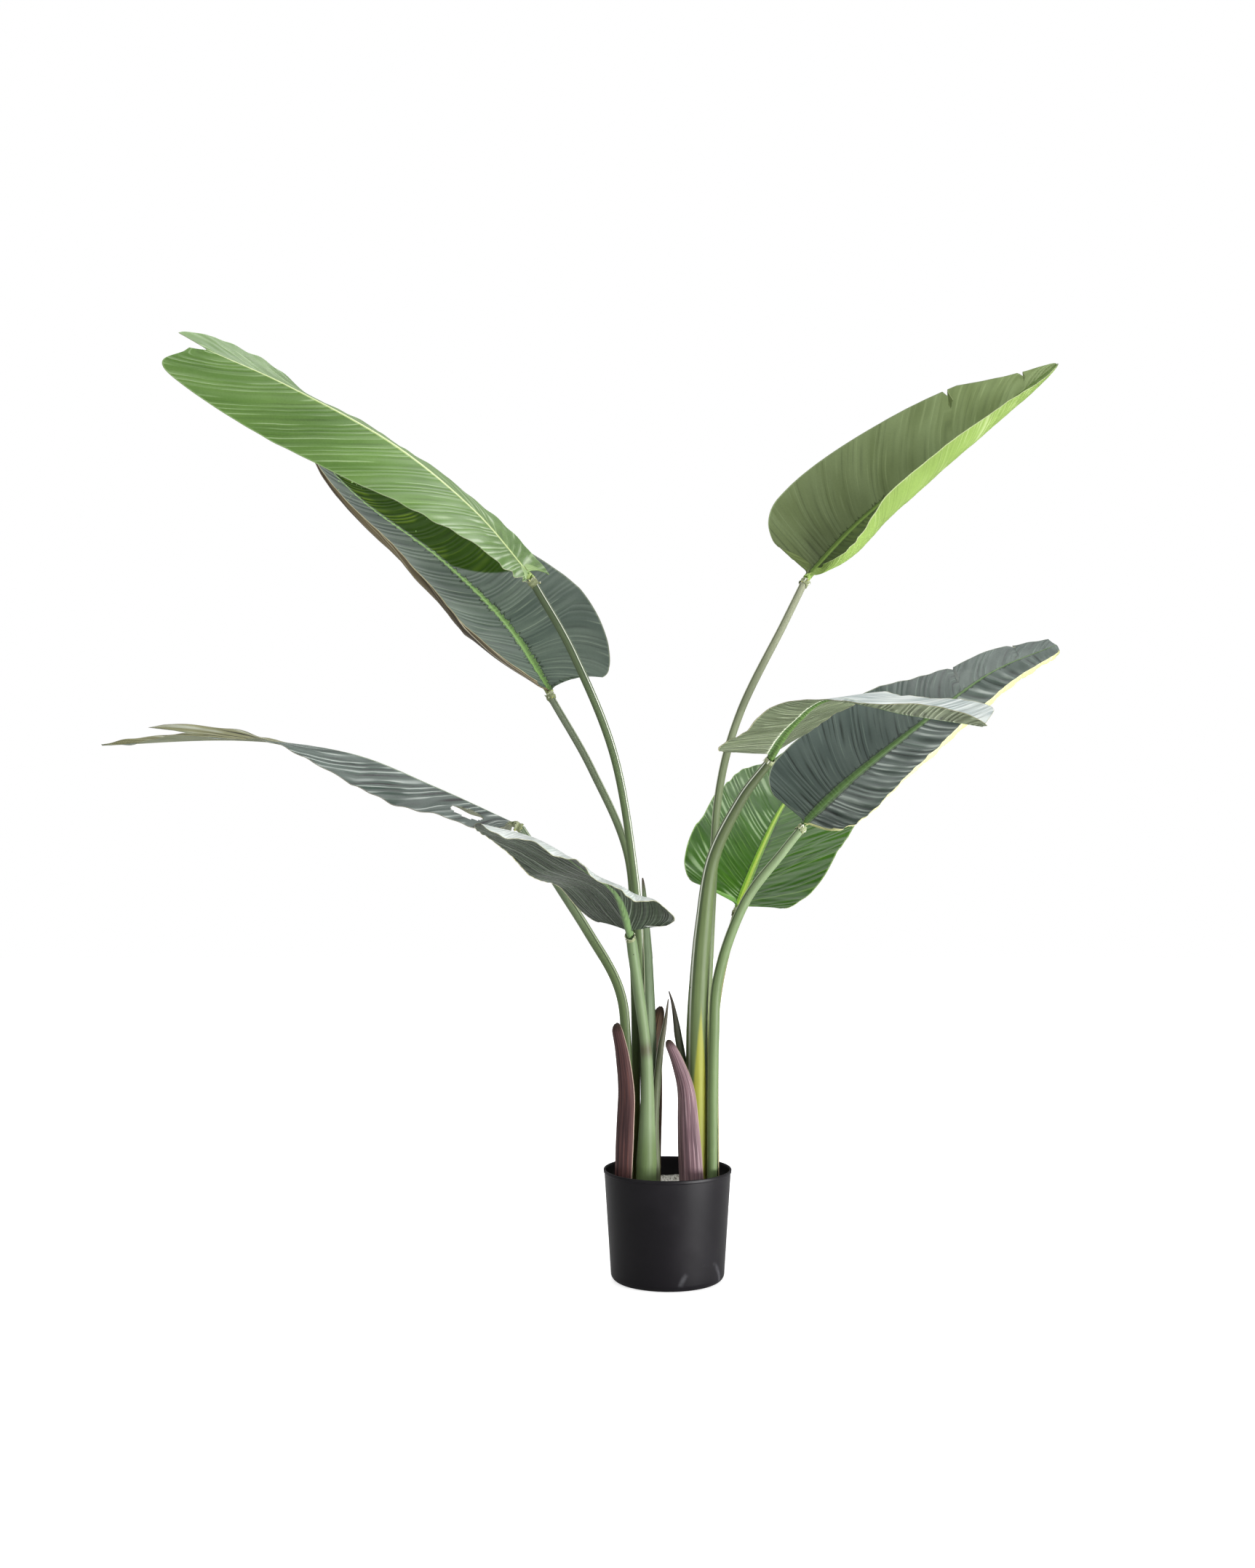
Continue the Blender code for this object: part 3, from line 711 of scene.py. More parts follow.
def thicken(piece, thickness, offset, **settings):
    wall = piece.modifiers.new("thickness", "SOLIDIFY")
    wall.thickness = thickness
    wall.offset = offset
    for name, value in settings.items():
        setattr(wall, name, value)
    bpy.context.view_layer.objects.active = piece
    bpy.ops.object.modifier_apply(modifier=wall.name)


def hand_over(piece, slot, *nodes):
    """The piece moves with the plant and stands for its nodes. The slot it is given is not used."""
    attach(piece, "root")
    if nodes:
        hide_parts(*nodes)
    print(piece.name, len(piece.data.polygons), "faces")


# %% [markdown]
# The blade gets its thickness from Solidify, downward from the upper face. A vertex group makes it thick
# along the midrib, as a rounded keel that runs out to the tip, and thin everywhere else. Solidify can also
# give the underside and the edge their own material slots.

# %% Leaf builder
LEAF_ROWS = 264
HALF_COLUMNS = 26
RIB_CROWDING = 1.5
KEEL_DEPTH = 0.005
KEEL_HALF_WIDTH = 0.0042
FILM = 0.0006
RIB_FADE = 1.1
CHANNEL_DEPTH = 0.0007
CHANNEL_HALF_WIDTH = 0.0022
BANK_PLACE = 0.0042
BANK_HALF_WIDTH = 0.0014
BANK_SHARE = 0.7


def cut_hole(piece, hole, width):
    """Deletes the faces of the left half within an oval of rows and columns."""
    middle, column, half_rows, half_columns = hole
    bpy.ops.object.mode_set(mode="EDIT")
    bpy.ops.mesh.select_mode(type="FACE")
    bpy.ops.mesh.select_all(action="DESELECT")
    bpy.ops.object.mode_set(mode="OBJECT")
    for face in piece.data.polygons:
        row, place = divmod(face.vertices[0], width)
        across = 1 - (place + 0.5) / HALF_COLUMNS
        if across > 0:
            rows_off = ((row + 0.5) / LEAF_ROWS - middle) / half_rows
            face.select = math.hypot(rows_off, (across ** RIB_CROWDING - column) / half_columns) < 1
    bpy.ops.object.mode_set(mode="EDIT")
    bpy.ops.mesh.delete(type="FACE")
    bpy.ops.mesh.select_mode(type="VERT")
    bpy.ops.object.mode_set(mode="OBJECT")


def grow_leaf(name, *skins):
    leaf = LEAVES[name]
    way = Way(leaf.midrib)
    shares = np.linspace(0, 1, LEAF_ROWS + 1)
    columns = np.linspace(0, 1, HALF_COLUMNS + 1) ** RIB_CROWDING
    left = half_blade(leaf, way, leaf.left, -1, shares, columns[:0:-1])
    right = half_blade(leaf, way, leaf.right, 1, shares, columns)
    places = np.concatenate([left, right], axis=1)
    gap = np.concatenate([columns[:0:-1], columns]) * leaf.half_width * MM
    strength = np.clip(1 - shares * RIB_FADE, 0, 1)
    up = axes(way, shares)[2]
    bank = np.exp(-((gap - BANK_PLACE) / BANK_HALF_WIDTH) ** 2)
    channel = np.exp(-(gap / CHANNEL_HALF_WIDTH) ** 2) - BANK_SHARE * bank
    places -= up[:, None, :] * (CHANNEL_DEPTH * strength[:, None] * channel[None, :])[..., None]
    piece = lay_grid(name, places)
    keel = piece.vertex_groups.new(name="keel")
    profile = np.exp(-(gap / KEEL_HALF_WIDTH) ** 2)
    for column in np.flatnonzero(profile > 0.01):
        for row in range(LEAF_ROWS + 1):
            keel.add([int(row * len(gap) + column)], float(profile[column] * strength[row]), "REPLACE")
    if leaf.left.hole:
        cut_hole(piece, leaf.left.hole, len(gap))
    for part, skin in zip(("upper", "under", "edge"), (*skins, DRY_EDGE)):
        piece.data.materials.append(leaf_skin(f"{name}_{part}", skin))
    thicken(piece, KEEL_DEPTH, -1, vertex_group="keel", thickness_vertex_group=FILM / KEEL_DEPTH,
            material_offset=1, material_offset_rim=2)
    smooth()
    hand_over(piece, SLOTS[name], name)


DRY_EDGE = Skin("#7E8266", "#94967A", "#A8A88C", "#A0A070", "#94967A", rough=0.6)

# %% [markdown]
# The two highest leaves on the left. The upper one is light green and glossy and shows its face; the white
# sheen on its pleats near the base is a painted highlight. The one behind it is grey-green, with a bright
# feathered midrib and a striped, straw-coloured underside that shows along one edge. The dark green patch on
# its right half is painted shade: the shadow of the upper leaf, tinted green as by light through that leaf.

# %% Upper and middle leaves of the left clump
grow_leaf(
    "leaf_left_upper",
    Skin("#5C803A", "#6F924B", "#B8D29C", "#B4CC7C", "#8AA86C", count=(44, 24), vein_share=0.55,
         valley_shade=0.26, core="#E6EEBE", rib_width=0.09, tip_tone=0.98, relief=0.4, rough=0.36,
         # The sheen near the base is a painted highlight.
         sheen="#DCE8D0", sheen_share=0.35, sheen_span=(0.0, 0.42)),
    Skin("#8FAE6C", "#A5C17F", "#C2D6A0", "#B2C97E", "#B9B88A", count=(78, 78), relief=0.3))
grow_leaf(
    "leaf_left_middle",
    Skin("#55635A", "#6A786C", "#A4B29C", "#7C9E60", "#8F9A84", count=(40, 60), sweep=(0.1, -0.14),
         vein_share=0.4, base_tone=1.12, tip_tone=0.8, rib_width=0.06, feather=0.09, core="#98BE74",
         # The dark green patch is painted shade: the upper leaf's shadow, green as by light through it.
         hair="#2A3626", patch="#2E4A0C", patch_vein="#7E9C2C", patch_edge=(0.04, 0.604, 3.1),
         patch_start=0.375, relief=0.4, rough=0.4),
    Skin("#4E4230", "#8C7E5E", "#F8F0D2", "#A9B27C", "#E4DAB4", count=(11, 11), sweep=(1.1, 1.1),
         vein_share=1.0, valley_shade=0.9, patch="#5A6858", patch_vein="#66746A"))


# %% [markdown]
# The lower leaves of the left clump. One comes toward the viewer and shows its finely striped underside, dark
# green with painted shade where the leaf arches over it; the strip of its upper face that shows is painted
# near white, a painted highlight from the light above. The other is the longest: pale pleats with painted
# shade in their valleys and a painted sheen on their crests, a hole near its base and a khaki, forked tip.

# %% Front and low leaves of the left clump
grow_leaf(
    "leaf_left_front",
    # The upper face is painted near white: a painted highlight of the light from above, with a painted sheen.
    Skin("#BCC6C0", "#D4DAD6", "#E8ECEA", "#C4CCBE", "#B8B79A", count=(90, 90), rough=0.36, sheen="#F6F8F7",
         sheen_share=0.6, relief=0.3),
    # The dark underside colour is partly the leaf's own green and partly painted shade, as inside its arch.
    Skin("#3C4638", "#4C5848", "#94A08E", "#6E8A5A", "#C4C29A", count=(18, 18), sweep=(0.7, 0.7),
         vein_share=0.7, valley_shade=0.8, rib_width=0.09, feather=0.03, base_tone=0.84, relief=0.8,
         gloss=0.25, rough=0.36))
grow_leaf(
    "leaf_left_low",
    Skin("#47564F", "#5C6C64", "#D2DCD4", "#9FB092", "#8C8880", count=(24, 24), sweep=(0.1, 0.1),
         # The sheen on the pleats is a painted highlight.
         vein_share=0.8, valley_shade=1.1, relief=1.0, sheen="#DCE4E0", sheen_share=0.35, rough=0.38,
         patch="#868664", patch_vein="#C2C09C", patch_edge=(-1.0, 0.72, 24.0)),
    Skin("#6F775A", "#8C9370", "#B4B89A", "#9AA080", "#8F8A72", count=(64, 64), valley_shade=0.4))


# %% [markdown]
# The right clump's upper pair. The top leaf is folded along its midrib: the far half stands up and shows its
# olive face, and the near half turns up so that its yellow-green underside shows, made brighter with painted
# light as if lit through; by the rib, the near half's upper face is darker with painted shade. The middle leaf
# is dark and bluish, with deep pleats on its near half, painted shade in their valleys and a painted sheen on
# their crests.

# %% Upper and middle leaves of the right clump
grow_leaf(
    "leaf_right_upper",
    Skin("#647248", "#75845A", "#9CAC7E", "#6F8C44", "#8A9A72", count=(40, 40), vein_share=0.22,
         # The patch on the near half's upper face is painted shade.
         rib_width=0.04, core="#86A450", hair="#3E4C28", patch="#4A5C30", patch_vein="#66783E",
         base_tone=0.62, tip_tone=2.1, relief=0.3, gloss=0.22),
    Skin("#5C6C3A", "#6C7C46", "#8C9C60", "#9DBB66", "#B4C48C", vein_share=0.8, valley_shade=0.2,
         # The bright patch on the near half's underside is its own yellow-green made lighter with painted
         # light, as if lit through.
         base_tone=0.86, relief=0.3, patch="#94B05E", patch_vein="#D8E4B0"))
grow_leaf(
    "leaf_right_middle",
    Skin("#424E49", "#525E58", "#7A8A80", "#4E6A3C", "#8C9680", count=(46, 36), sweep=(0.05, 0.0),
         vein_share=0.35, valley_shade=0.8, rib_width=0.095, feather=0.03, core="#64864A", hair="#262F26",
         # The sheen on the near half's pleats is a painted highlight.
         relief=0.7, tip_tone=1.4, sheen="#A8B0AA", sheen_share=0.6, sheen_side=1.0, gloss=0.22),
    Skin("#48544C", "#58645A", "#7A8A80", "#4E6A3C", "#DCDCAC", relief=0.4, patch="#C8CA90",
         patch_vein="#EAE8C2"))


# %% [markdown]
# The right clump's lower pair. The front leaf arches toward the viewer and shows its grey-olive underside; the
# strip of its upper face on top is painted near white, a painted highlight from the light above. The back leaf
# is the most vivid of all, with a yellow-green midrib and a painted sheen, a painted highlight, on its left
# half.

# %% Front and back leaves of the right clump
grow_leaf(
    "leaf_right_front",
    # The upper face is painted near white: a painted highlight of the light from above, with a painted sheen.
    Skin("#9AA8A8", "#D8DEDA", "#F4F6F4", "#A9B49E", "#B4B49A", count=(36, 36), rough=0.36, vein_share=0.8,
         valley_shade=0.5, sheen="#F2F6F4", sheen_share=0.4),
    Skin("#586149", "#6E785E", "#B0B89E", "#4E6A38", "#A8A482", count=(64, 64), sweep=(0.03, 0.03),
         rib_width=0.11, vein_share=0.7, valley_shade=0.8, core="#5E7C40", hair="#DDE2CC", relief=0.7))
grow_leaf(
    "leaf_right_back",
    Skin("#2C5210", "#3A6219", "#7A9C50", "#6C9830", "#7FA05A", count=(40, 34), sweep=(0.08, 0.08),
         vein_share=0.4, valley_shade=0.26, rib_width=0.07, core="#B0CC54", hair="#1E3C0C", rough=0.34,
         # The sheen on the left half is a painted highlight.
         sheen="#A8C096", sheen_share=0.5, sheen_span=(0.0, 0.75), sheen_side=0.0, gloss=0.22),
    Skin("#5C8A3C", "#76A052", "#96B872", "#93B85A", "#8CA066", count=(62, 62)))


# %% [markdown]
# A stem and its leaf stalk are one piece. The stalk is not round: it has a channel along its inner side, the
# side that faces the sky where it leans out, with a thin pale lip on each side of the channel. It is made as
# a grid that is rolled into a tube: the columns go round from the channel to the channel, and the seam is
# merged where it lies hidden. Its rows follow the stem's way.

# %% Stem shapes
@dataclass
class Stem:
    path: tuple
    radii: tuple
    leaf: str = ""
    channel: float = 0.3
    keel: tuple = (0.0, 0.0)
    turn: float = 0.0


STEMS = {
    "stem_left_upper": Stem(
        ((-27, 12), (-29, 12, 290), (-33, 10, 393), (-42, -4, 514), (-67, -28, 661), (-117, -50, 786)),
        (6, 6, 5.6, 5.5, 5.5, 5), "leaf_left_upper", turn=-35),
    "stem_left_middle": Stem(
        ((-40, 27), (-40, 27, 291), (-42, 27, 392), (-49, 27, 531), (-95, 28, 643)),
        (5.6, 5.6, 5.4, 5.4, 5), "leaf_left_middle"),
    "stem_left_low": Stem(
        ((-50, 16), (-52, 16, 287), (-61, 18, 365), (-101, 22, 438), (-160, 28, 529)),
        (6.8, 6.8, 6.6, 6.5, 5), "leaf_left_low"),
    "stem_left_front": Stem(
        ((-28, -16), (-26, -18, 250), (-29, -20, 305), (-38, -26, 372)),
        (12, 12, 9, 7, 6.4, 6.6, 6.5, 5), "leaf_left_front", channel=0.15, keel=(-55, 0.16)),
    "stem_right_front": Stem(
        ((38, 6), (37, 2, 293), (39, -4, 376), (44, -12, 447), (56, -26, 533), (90, -44, 606)),
        (13.6, 13.6, 13.6, 13.2, 11.6, 8.8, 6.8, 5), "leaf_right_front", turn=38),
    "stem_right_upper": Stem(
        ((42, 28), (50, 26, 327), (57, 20, 485), (65, 14, 615), (92, 12, 717), (147, 16, 828)),
        (6, 6, 5.8, 5.6, 5.6, 5), "leaf_right_upper"),
    "stem_right_middle": Stem(
        ((56, -6), (58, -8, 303), (64, -12, 387), (96, -20, 477), (143, -30, 541)),
        (6.8, 6.8, 7, 6.8, 6.4, 5), "leaf_right_middle"),
    "stem_right_back": Stem(
        ((56, 22), (60, 22, 300), (66, 25, 364), (80, 33, 427)),
        (5.2, 5.2, 5, 4.8, 4.5), "leaf_right_back"),
    "spear_left": Stem(
        ((-14, 2), (-16, 3, 207), (-10, 2, 283), (-3, 1, 325), (1, 0, 354)),
        (4.8, 5.2, 5.4, 5.4, 4, 0.8)),
    "spear_right": Stem(
        ((20, 16), (21, 13, 250), (13, 10, 311), (7, 8, 346), (2, 8, 363)),
        (4, 4.6, 5.4, 5.6, 4.6, 0.8)),
}

# %% [markdown]
# The rows of a stem start at its foot in the fill, go straight up to the collar just above it, follow the
# smooth way and end square to the leaf's base. The channel turns with the stem: it faces away from the side
# it leans to.

# %% Stem builder
CLEARANCE = 0.0003
FILL_TOP = 0.117
STRAIGHT_ABOVE = 0.02
STEM_FOOT = 0.075
STEM_END = 0.006
RING_SPACING = 0.035
ROW_SPACING = 0.005
FOOT_SPACING = 0.012
SIDES = 36
CHANNEL_START = 0.35
CHANNEL_RUN = 0.25
CHANNEL_HALF_ANGLE = 0.49015
LIP_ANGLE = 0.75
LIP_HALF_ANGLE = 0.16
LIP_HEIGHT = 0.07
STALK_KEEL_HALF_ANGLE = 0.3


def stem_rows(stem):
    """Centres, directions, radii and places of a stem's rows, from its foot to its top."""
    x, y = stem.path[0]
    points = [(x, y, (FILL_TOP + STRAIGHT_ABOVE) / MM), *stem.path[1:]]
    end = []
    if stem.leaf:
        midrib = Way(LEAVES[stem.leaf].midrib)
        along, _, up = axes(midrib, 0.0)
        top = midrib.on_curve(0.0) - along * CLEARANCE - up * KEEL_DEPTH * 0.5
        points.append(tuple((top - along * STEM_END) / MM))
        end = [(top, along, 1.0)]
    way = Way(points)
    steps = round(way.length / RING_SPACING)
    last = steps + 1 + len(end)
    foot = np.array((x * MM, y * MM, STEM_FOOT))
    rises = np.arange(0, FILL_TOP + STRAIGHT_ABOVE - STEM_FOOT, FOOT_SPACING)
    rows = [(foot + UP * rise, UP, 0.0) for rise in rises]
    for share in np.linspace(0, 1, round(way.length / ROW_SPACING)):
        rows.append((way.on_curve(share), way.direction(share), (1 + share * steps) / last))
    return [(centre, along, stations(stem.radii, place) * MM, place) for centre, along, place in rows + end]


def roll_stem(name, stem, skin):
    rows = stem_rows(stem)
    lean = rows[-1][0] - rows[0][0]
    heading = math.atan2(lean[1], lean[0]) + math.radians(stem.turn)
    lean = np.array((math.cos(heading), math.sin(heading), 0.0))
    angles = np.linspace(0, 2 * math.pi, SIDES + 1)
    away = np.minimum(angles, 2 * math.pi - angles)
    keel_angle, keel_height = stem.keel
    places = []
    for centre, along, radius, place in rows:
        inner = unit(-lean + np.dot(lean, along) * along)
        side = np.cross(along, inner)
        open_up = min(max((place - CHANNEL_START) / CHANNEL_RUN, 0.0), 1.0)
        channel = stem.channel * np.exp(-(away / CHANNEL_HALF_ANGLE) ** 2)
        lips = LIP_HEIGHT * np.exp(-((away - LIP_ANGLE) / LIP_HALF_ANGLE) ** 2)
        turn = np.angle(np.exp(1j * (angles - math.radians(keel_angle))))
        keel = keel_height * np.exp(-(turn / STALK_KEEL_HALF_ANGLE) ** 2)
        profile = 1 + open_up * (lips - channel) + keel
        around = np.outer(np.cos(angles), inner) + np.outer(np.sin(angles), side)
        places.append(centre + around * (radius * profile)[:, None])
    piece = lay_grid(name, places)
    mend(TOUCHING, fill=True)
    smooth()
    piece.data.materials.append(skin)
    hand_over(piece, SLOTS[name], name)


# %% [markdown]
# Stalk and husk skins share another drawing: long fibres that run with the piece, a cloudy tone, and a few
# tiny dark marks where the plastic is scuffed. Again V runs along the piece, so a fibre is a line of nearly
# constant U.

# %% Fibre drawing, shared by stems and husks
def make_fibre_drawing():
    outputs = ("Fibre", "Line", "Cloud", "Mark", "Across", "Along", "Height")
    group, given, made = new_group("fibre drawing", ("Fibres", "Drift"), outputs)
    u, v, _ = split_up(coords(made, "UV"))
    where = vector(u * given["Fibres"], v * given["Drift"])
    fibre = grain(where, 1.0, 3.0)
    line = fade(grain(where, 2.3, 1.0), 0.58, 0.72)
    mark = specks(coords(made), 70.0, (0.075, 0.035), 0.07)
    masks = (fibre, line, grain(coords(made), 24.0, 3.0), mark, u, v, mark * -0.5 + fibre)
    fill_in(made, dict(zip(outputs, masks)))
    return group


FIBRE_DRAWING = make_fibre_drawing()

# %% [markdown]
# A stalk is mid green, greyer toward its leaf, with the two pale lips of the channel, and darker along its
# sides where a line of painted shade lies just outside each lip, as of a groove. The lower part may have a
# colour of its own: the thick trunk on the right shows a yellow-green inside.

# %% Stem skins
LIP_PLACE = LIP_ANGLE / (2 * math.pi)
GROOVE_PLACE = 0.165
PATCH_PLACE = 0.3


def stem_skin(name, body, top, lip="#E6EADC", foot="", foot_end=0.3, patch="", ring=0.0):
    material, shader = new_material(name)
    masks = use_group(shader, FIBRE_DRAWING, {"Fibres": 30.0, "Drift": 5.0})
    across, along = masks["Across"], masks["Along"]
    colour = mix(fade(along, 0.55, 1.0), body, top)
    if foot:
        colour = mix(fade(along, foot_end, foot_end * 0.55), colour, foot)
    if patch:
        side = abs(across - PATCH_PLACE)
        wedge = fade(side * 1.5 + along, 0.44, 0.38)
        colour = mix(wedge * fade(side, 0.15, 0.11), colour, patch)
    if ring:
        colour = mix(fade(abs(along - ring), 0.05, 0.0) * 0.6, colour, "#4A3A34")
    colour = tint(colour, masks["Fibre"] * 0.42 + masks["Cloud"] * 0.3 + 0.64)
    away = calc("PINGPONG", across, 0.5)
    stalk = fade(along, 0.3, 0.55)
    # A dark line just outside each lip is painted shade, as of a groove there.
    groove_shade = fade(abs(away - GROOVE_PLACE), 0.03, 0.01)
    colour = mix(groove_shade * stalk * 0.65, colour, "#3C4634")
    near_lip = fade(abs(away - LIP_PLACE), 0.026, 0.012)
    colour = mix(near_lip * (stalk * 0.6 + 0.35), colour, lip)
    colour = mix(masks["Mark"] * 0.8, colour, "#2E2A20")
    fill_in(shader, {"Base Color": colour, "Roughness": masks["Fibre"] * 0.2 + 0.36,
                     "Specular IOR Level": 0.22, "Normal": bump(masks["Height"], 0.35, 0.0005)})
    return material


# %% [markdown]
# Eight stalks and two young shoots. They differ only in their numbers and colours, so one loop rolls them
# all. The shoots carry no leaf and end in a brown point.

# %% Stems and stalks
STEM_FINISHES = {
    "stem_left_upper": ("#5F704B", "#5A684C", {}),
    "stem_left_middle": ("#5E6E4A", "#7C8670", {"foot": "#6A7040", "lip": "#A4AE92"}),
    "stem_left_low": ("#66784F", "#7A8870", {"lip": "#A4AE92"}),
    "stem_left_front": ("#6E805C", "#728660", {"foot": "#5E7048", "ring": 0.56}),
    "stem_right_front": ("#5E6E46", "#4E583C", {"patch": "#8E9038"}),
    "stem_right_upper": ("#6A7856", "#9A9E84", {"foot": "#7E8844", "foot_end": 0.36, "lip": "#C4C8B0"}),
    "stem_right_middle": ("#65784F", "#7C8E6A", {"lip": "#BCC4A8"}),
    "stem_right_back": ("#727248", "#868660", {}),
    "spear_left": ("#60684E", "#463F34", {}),
    "spear_right": ("#525C48", "#463F38", {}),
}

for node, (body, top, extra) in STEM_FINISHES.items():
    roll_stem(node, STEMS[node], stem_skin(node + "_skin", body, top, **extra))


# %% [markdown]
# A husk is what is left of an old leaf: an open, tapering sheet that wraps a stem and ends in a blunt tip.
# It is a grid too, bent round its own axis, drawn in at the tip, and given a thin wall.

# %% Husks
@dataclass
class Husk:
    path: tuple
    radii: tuple
    arc: tuple
    colours: tuple


HUSKS = {
    "sheath_left_maroon": Husk(
        ((-51, -7), (-48, -8, 194), (-47, -9, 240), (-53, -11, 287), (-62, -14, 325)),
        (15, 16, 15.5, 13, 9), (115, 290), ("#3A2829", "#5E4240", "#7A4E44", "#B09A8C")),
    "sheath_left_dry": Husk(
        ((-14, 34), (-15, 33, 207), (-17, 32, 281), (-13, 31, 317), (-8, 30, 341)),
        (6, 7, 9, 11, 11, 6), (150, 330), ("#3E3026", "#624A38", "#8A7050", "#A08A6A")),
    "sheath_left_long": Husk(
        ((-25, 14), (-24, 12, 267), (-26, 11, 382), (-29, 6, 457), (-32, 0, 507)),
        (9, 9.5, 9.5, 7, 2), (-115, 70), ("#4C5C40", "#66765A", "#84947A", "#C8CCAA")),
    "sheath_right_purple": Husk(
        ((35, 2), (30, -1, 194), (26, -6, 241), (15, -14, 277), (2, -22, 305)),
        (19, 18, 15, 11.5, 7), (170, 305), ("#5E4A50", "#886C72", "#D0B6BA", "#8A7A60")),
    "sheath_right_dark": Husk(
        ((56, 9), (57, 8, 207), (60, 8, 277), (64, 8, 334)),
        (9, 8, 5, 1.5), (-20, 50), ("#2E231C", "#4A3A2C", "#5A4A38", "#C8BE94")),
}
HUSK_ROWS = 96
HUSK_COLUMNS = 28
HUSK_WALL = 0.0009
HUSK_RIBS = 7
HUSK_RIB_HEIGHT = 0.012
HUSK_TIP = 0.06
HUSK_BLUNTNESS = 0.96


def husk_skin(name, dark, light, line, edge):
    material, shader = new_material(name)
    masks = use_group(shader, FIBRE_DRAWING, {"Fibres": 18.0, "Drift": 1.2})
    colour = mix(fade(masks["Fibre"], 0.35, 0.65), dark, light)
    colour = tint(mix(masks["Line"] * 0.6, colour, line), masks["Cloud"] * 0.5 + 0.75)
    colour = mix(fade(masks["Along"], 0.93, 1.0), colour, "#3A2E26")
    colour = mix(fade(abs(masks["Across"] - 0.5), 0.47, 0.49), colour, edge)
    fill_in(shader, {"Base Color": colour, "Roughness": 0.55, "Specular IOR Level": 0.2,
                     "Normal": bump(masks["Height"], 0.5, 0.0008)})
    return material


def wrap_husk(name, husk):
    x, y = husk.path[0]
    way = Way([(x, y, (FILL_TOP + CLEARANCE) / MM), *husk.path[1:]])
    shares = np.linspace(0, 1, HUSK_ROWS + 1)
    columns = np.linspace(0, 1, HUSK_COLUMNS + 1)
    turns = np.radians(husk.arc[0] + (husk.arc[1] - husk.arc[0]) * columns)
    around = np.stack([np.cos(turns), np.sin(turns), np.zeros_like(turns)], axis=-1)
    ribs = 1 + HUSK_RIB_HEIGHT * np.cos(columns * 2 * math.pi * HUSK_RIBS)
    blunt = np.sqrt(1 - HUSK_BLUNTNESS * np.clip((shares - 1) / HUSK_TIP + 1, 0, 1) ** 2)
    radii = stations(husk.radii, shares) * MM * blunt
    places = way.on_curve(shares)[:, None, :] + around[None] * (radii[:, None] * ribs[None, :])[..., None]
    piece = lay_grid(name, places)
    thicken(piece, HUSK_WALL, 1)
    smooth()
    piece.data.materials.append(husk_skin(name + "_skin", *husk.colours))
    hand_over(piece, SLOTS[name], name)


for node, husk in HUSKS.items():
    wrap_husk(node, husk)


# %% [markdown]
# The pot is blown from thin black plastic. By hand it would be pulled up ring by ring: a disc for the base,
# a round bottom edge, the side, a small rolled lip and the inside again. Each pull is an extrude followed by
# a resize of the new ring, and the points of the profile come from a few sizes.

# %% Pot
POT_HEIGHT = 0.140
POT_RIM_RADIUS = 0.0802
POT_BASE_RADIUS = 0.0712
POT_WALL = 0.0018
POT_FLOOR = 0.003
POT_BOTTOM_ROUND = 0.009
POT_LIP_HEIGHT = 0.004
POT_LIP_OUT = 0.0008
LIP_OUTER_CURVE = ((0.0, 0.0008), (0.0004, 0.0002), (0.001, 0.0))
LIP_INNER_CURVE = ((0.0006, 0.0002), (0.0, 0.001))
POT_SIDE_RINGS = 12
POT_SIDES = 160
SCUFF_CENTRE = (0.046, -0.060, 0.0)
SCUFF_RADIUS = 0.034


def pot_radius(height):
    return POT_BASE_RADIUS + (POT_RIM_RADIUS - POT_BASE_RADIUS) * height / POT_HEIGHT


def rounded_foot(inset, floor, steps=8):
    round_radius = POT_BOTTOM_ROUND - inset
    centre = pot_radius(POT_BOTTOM_ROUND) - POT_BOTTOM_ROUND
    turns = [math.pi / 2 * step / steps for step in range(steps + 1)]
    return [(centre + round_radius * math.sin(turn), floor + round_radius * (1 - math.cos(turn)))
            for turn in turns]


def pot_profile():
    lip = POT_HEIGHT - POT_LIP_HEIGHT
    out = pot_radius(lip) + POT_LIP_OUT
    crown = POT_RIM_RADIUS + POT_LIP_OUT
    inner = POT_RIM_RADIUS - POT_WALL
    levels = np.linspace(POT_BOTTOM_ROUND, lip - POT_LIP_OUT, POT_SIDE_RINGS)
    side = [(pot_radius(height), height) for height in levels[1:]]
    rim = [(out, lip)]
    rim += [(crown - inset, POT_HEIGHT - drop) for inset, drop in LIP_OUTER_CURVE]
    rim += [(inner + inset, POT_HEIGHT - drop) for inset, drop in LIP_INNER_CURVE]
    inside = [(pot_radius(lip) - POT_WALL, lip), *reversed(rounded_foot(POT_WALL, POT_FLOOR))]
    return rounded_foot(0.0, 0.0) + side + rim + inside


def pull_pot():
    profile = pot_profile()
    radius, height = profile[0]
    bpy.ops.object.select_all(action="DESELECT")
    bpy.ops.mesh.primitive_circle_add(vertices=POT_SIDES, radius=radius, fill_type="NGON", location=(0, 0, 0))
    pot = bpy.context.object
    pot.name = "pot_shell"
    bpy.ops.object.mode_set(mode="EDIT")
    bpy.ops.mesh.select_all(action="SELECT")
    for (last_radius, last_height), (radius, height) in zip(profile, profile[1:]):
        bpy.ops.mesh.extrude_region_move(TRANSFORM_OT_translate={"value": (0, 0, height - last_height)})
        scale = radius / last_radius
        bpy.ops.transform.resize(value=(scale, scale, 1))
    bpy.ops.object.mode_set(mode="OBJECT")
    mend()
    smooth(40)
    pot.data.materials.append(pot_plastic())
    hand_over(pot, SLOTS["pot"], "pot")


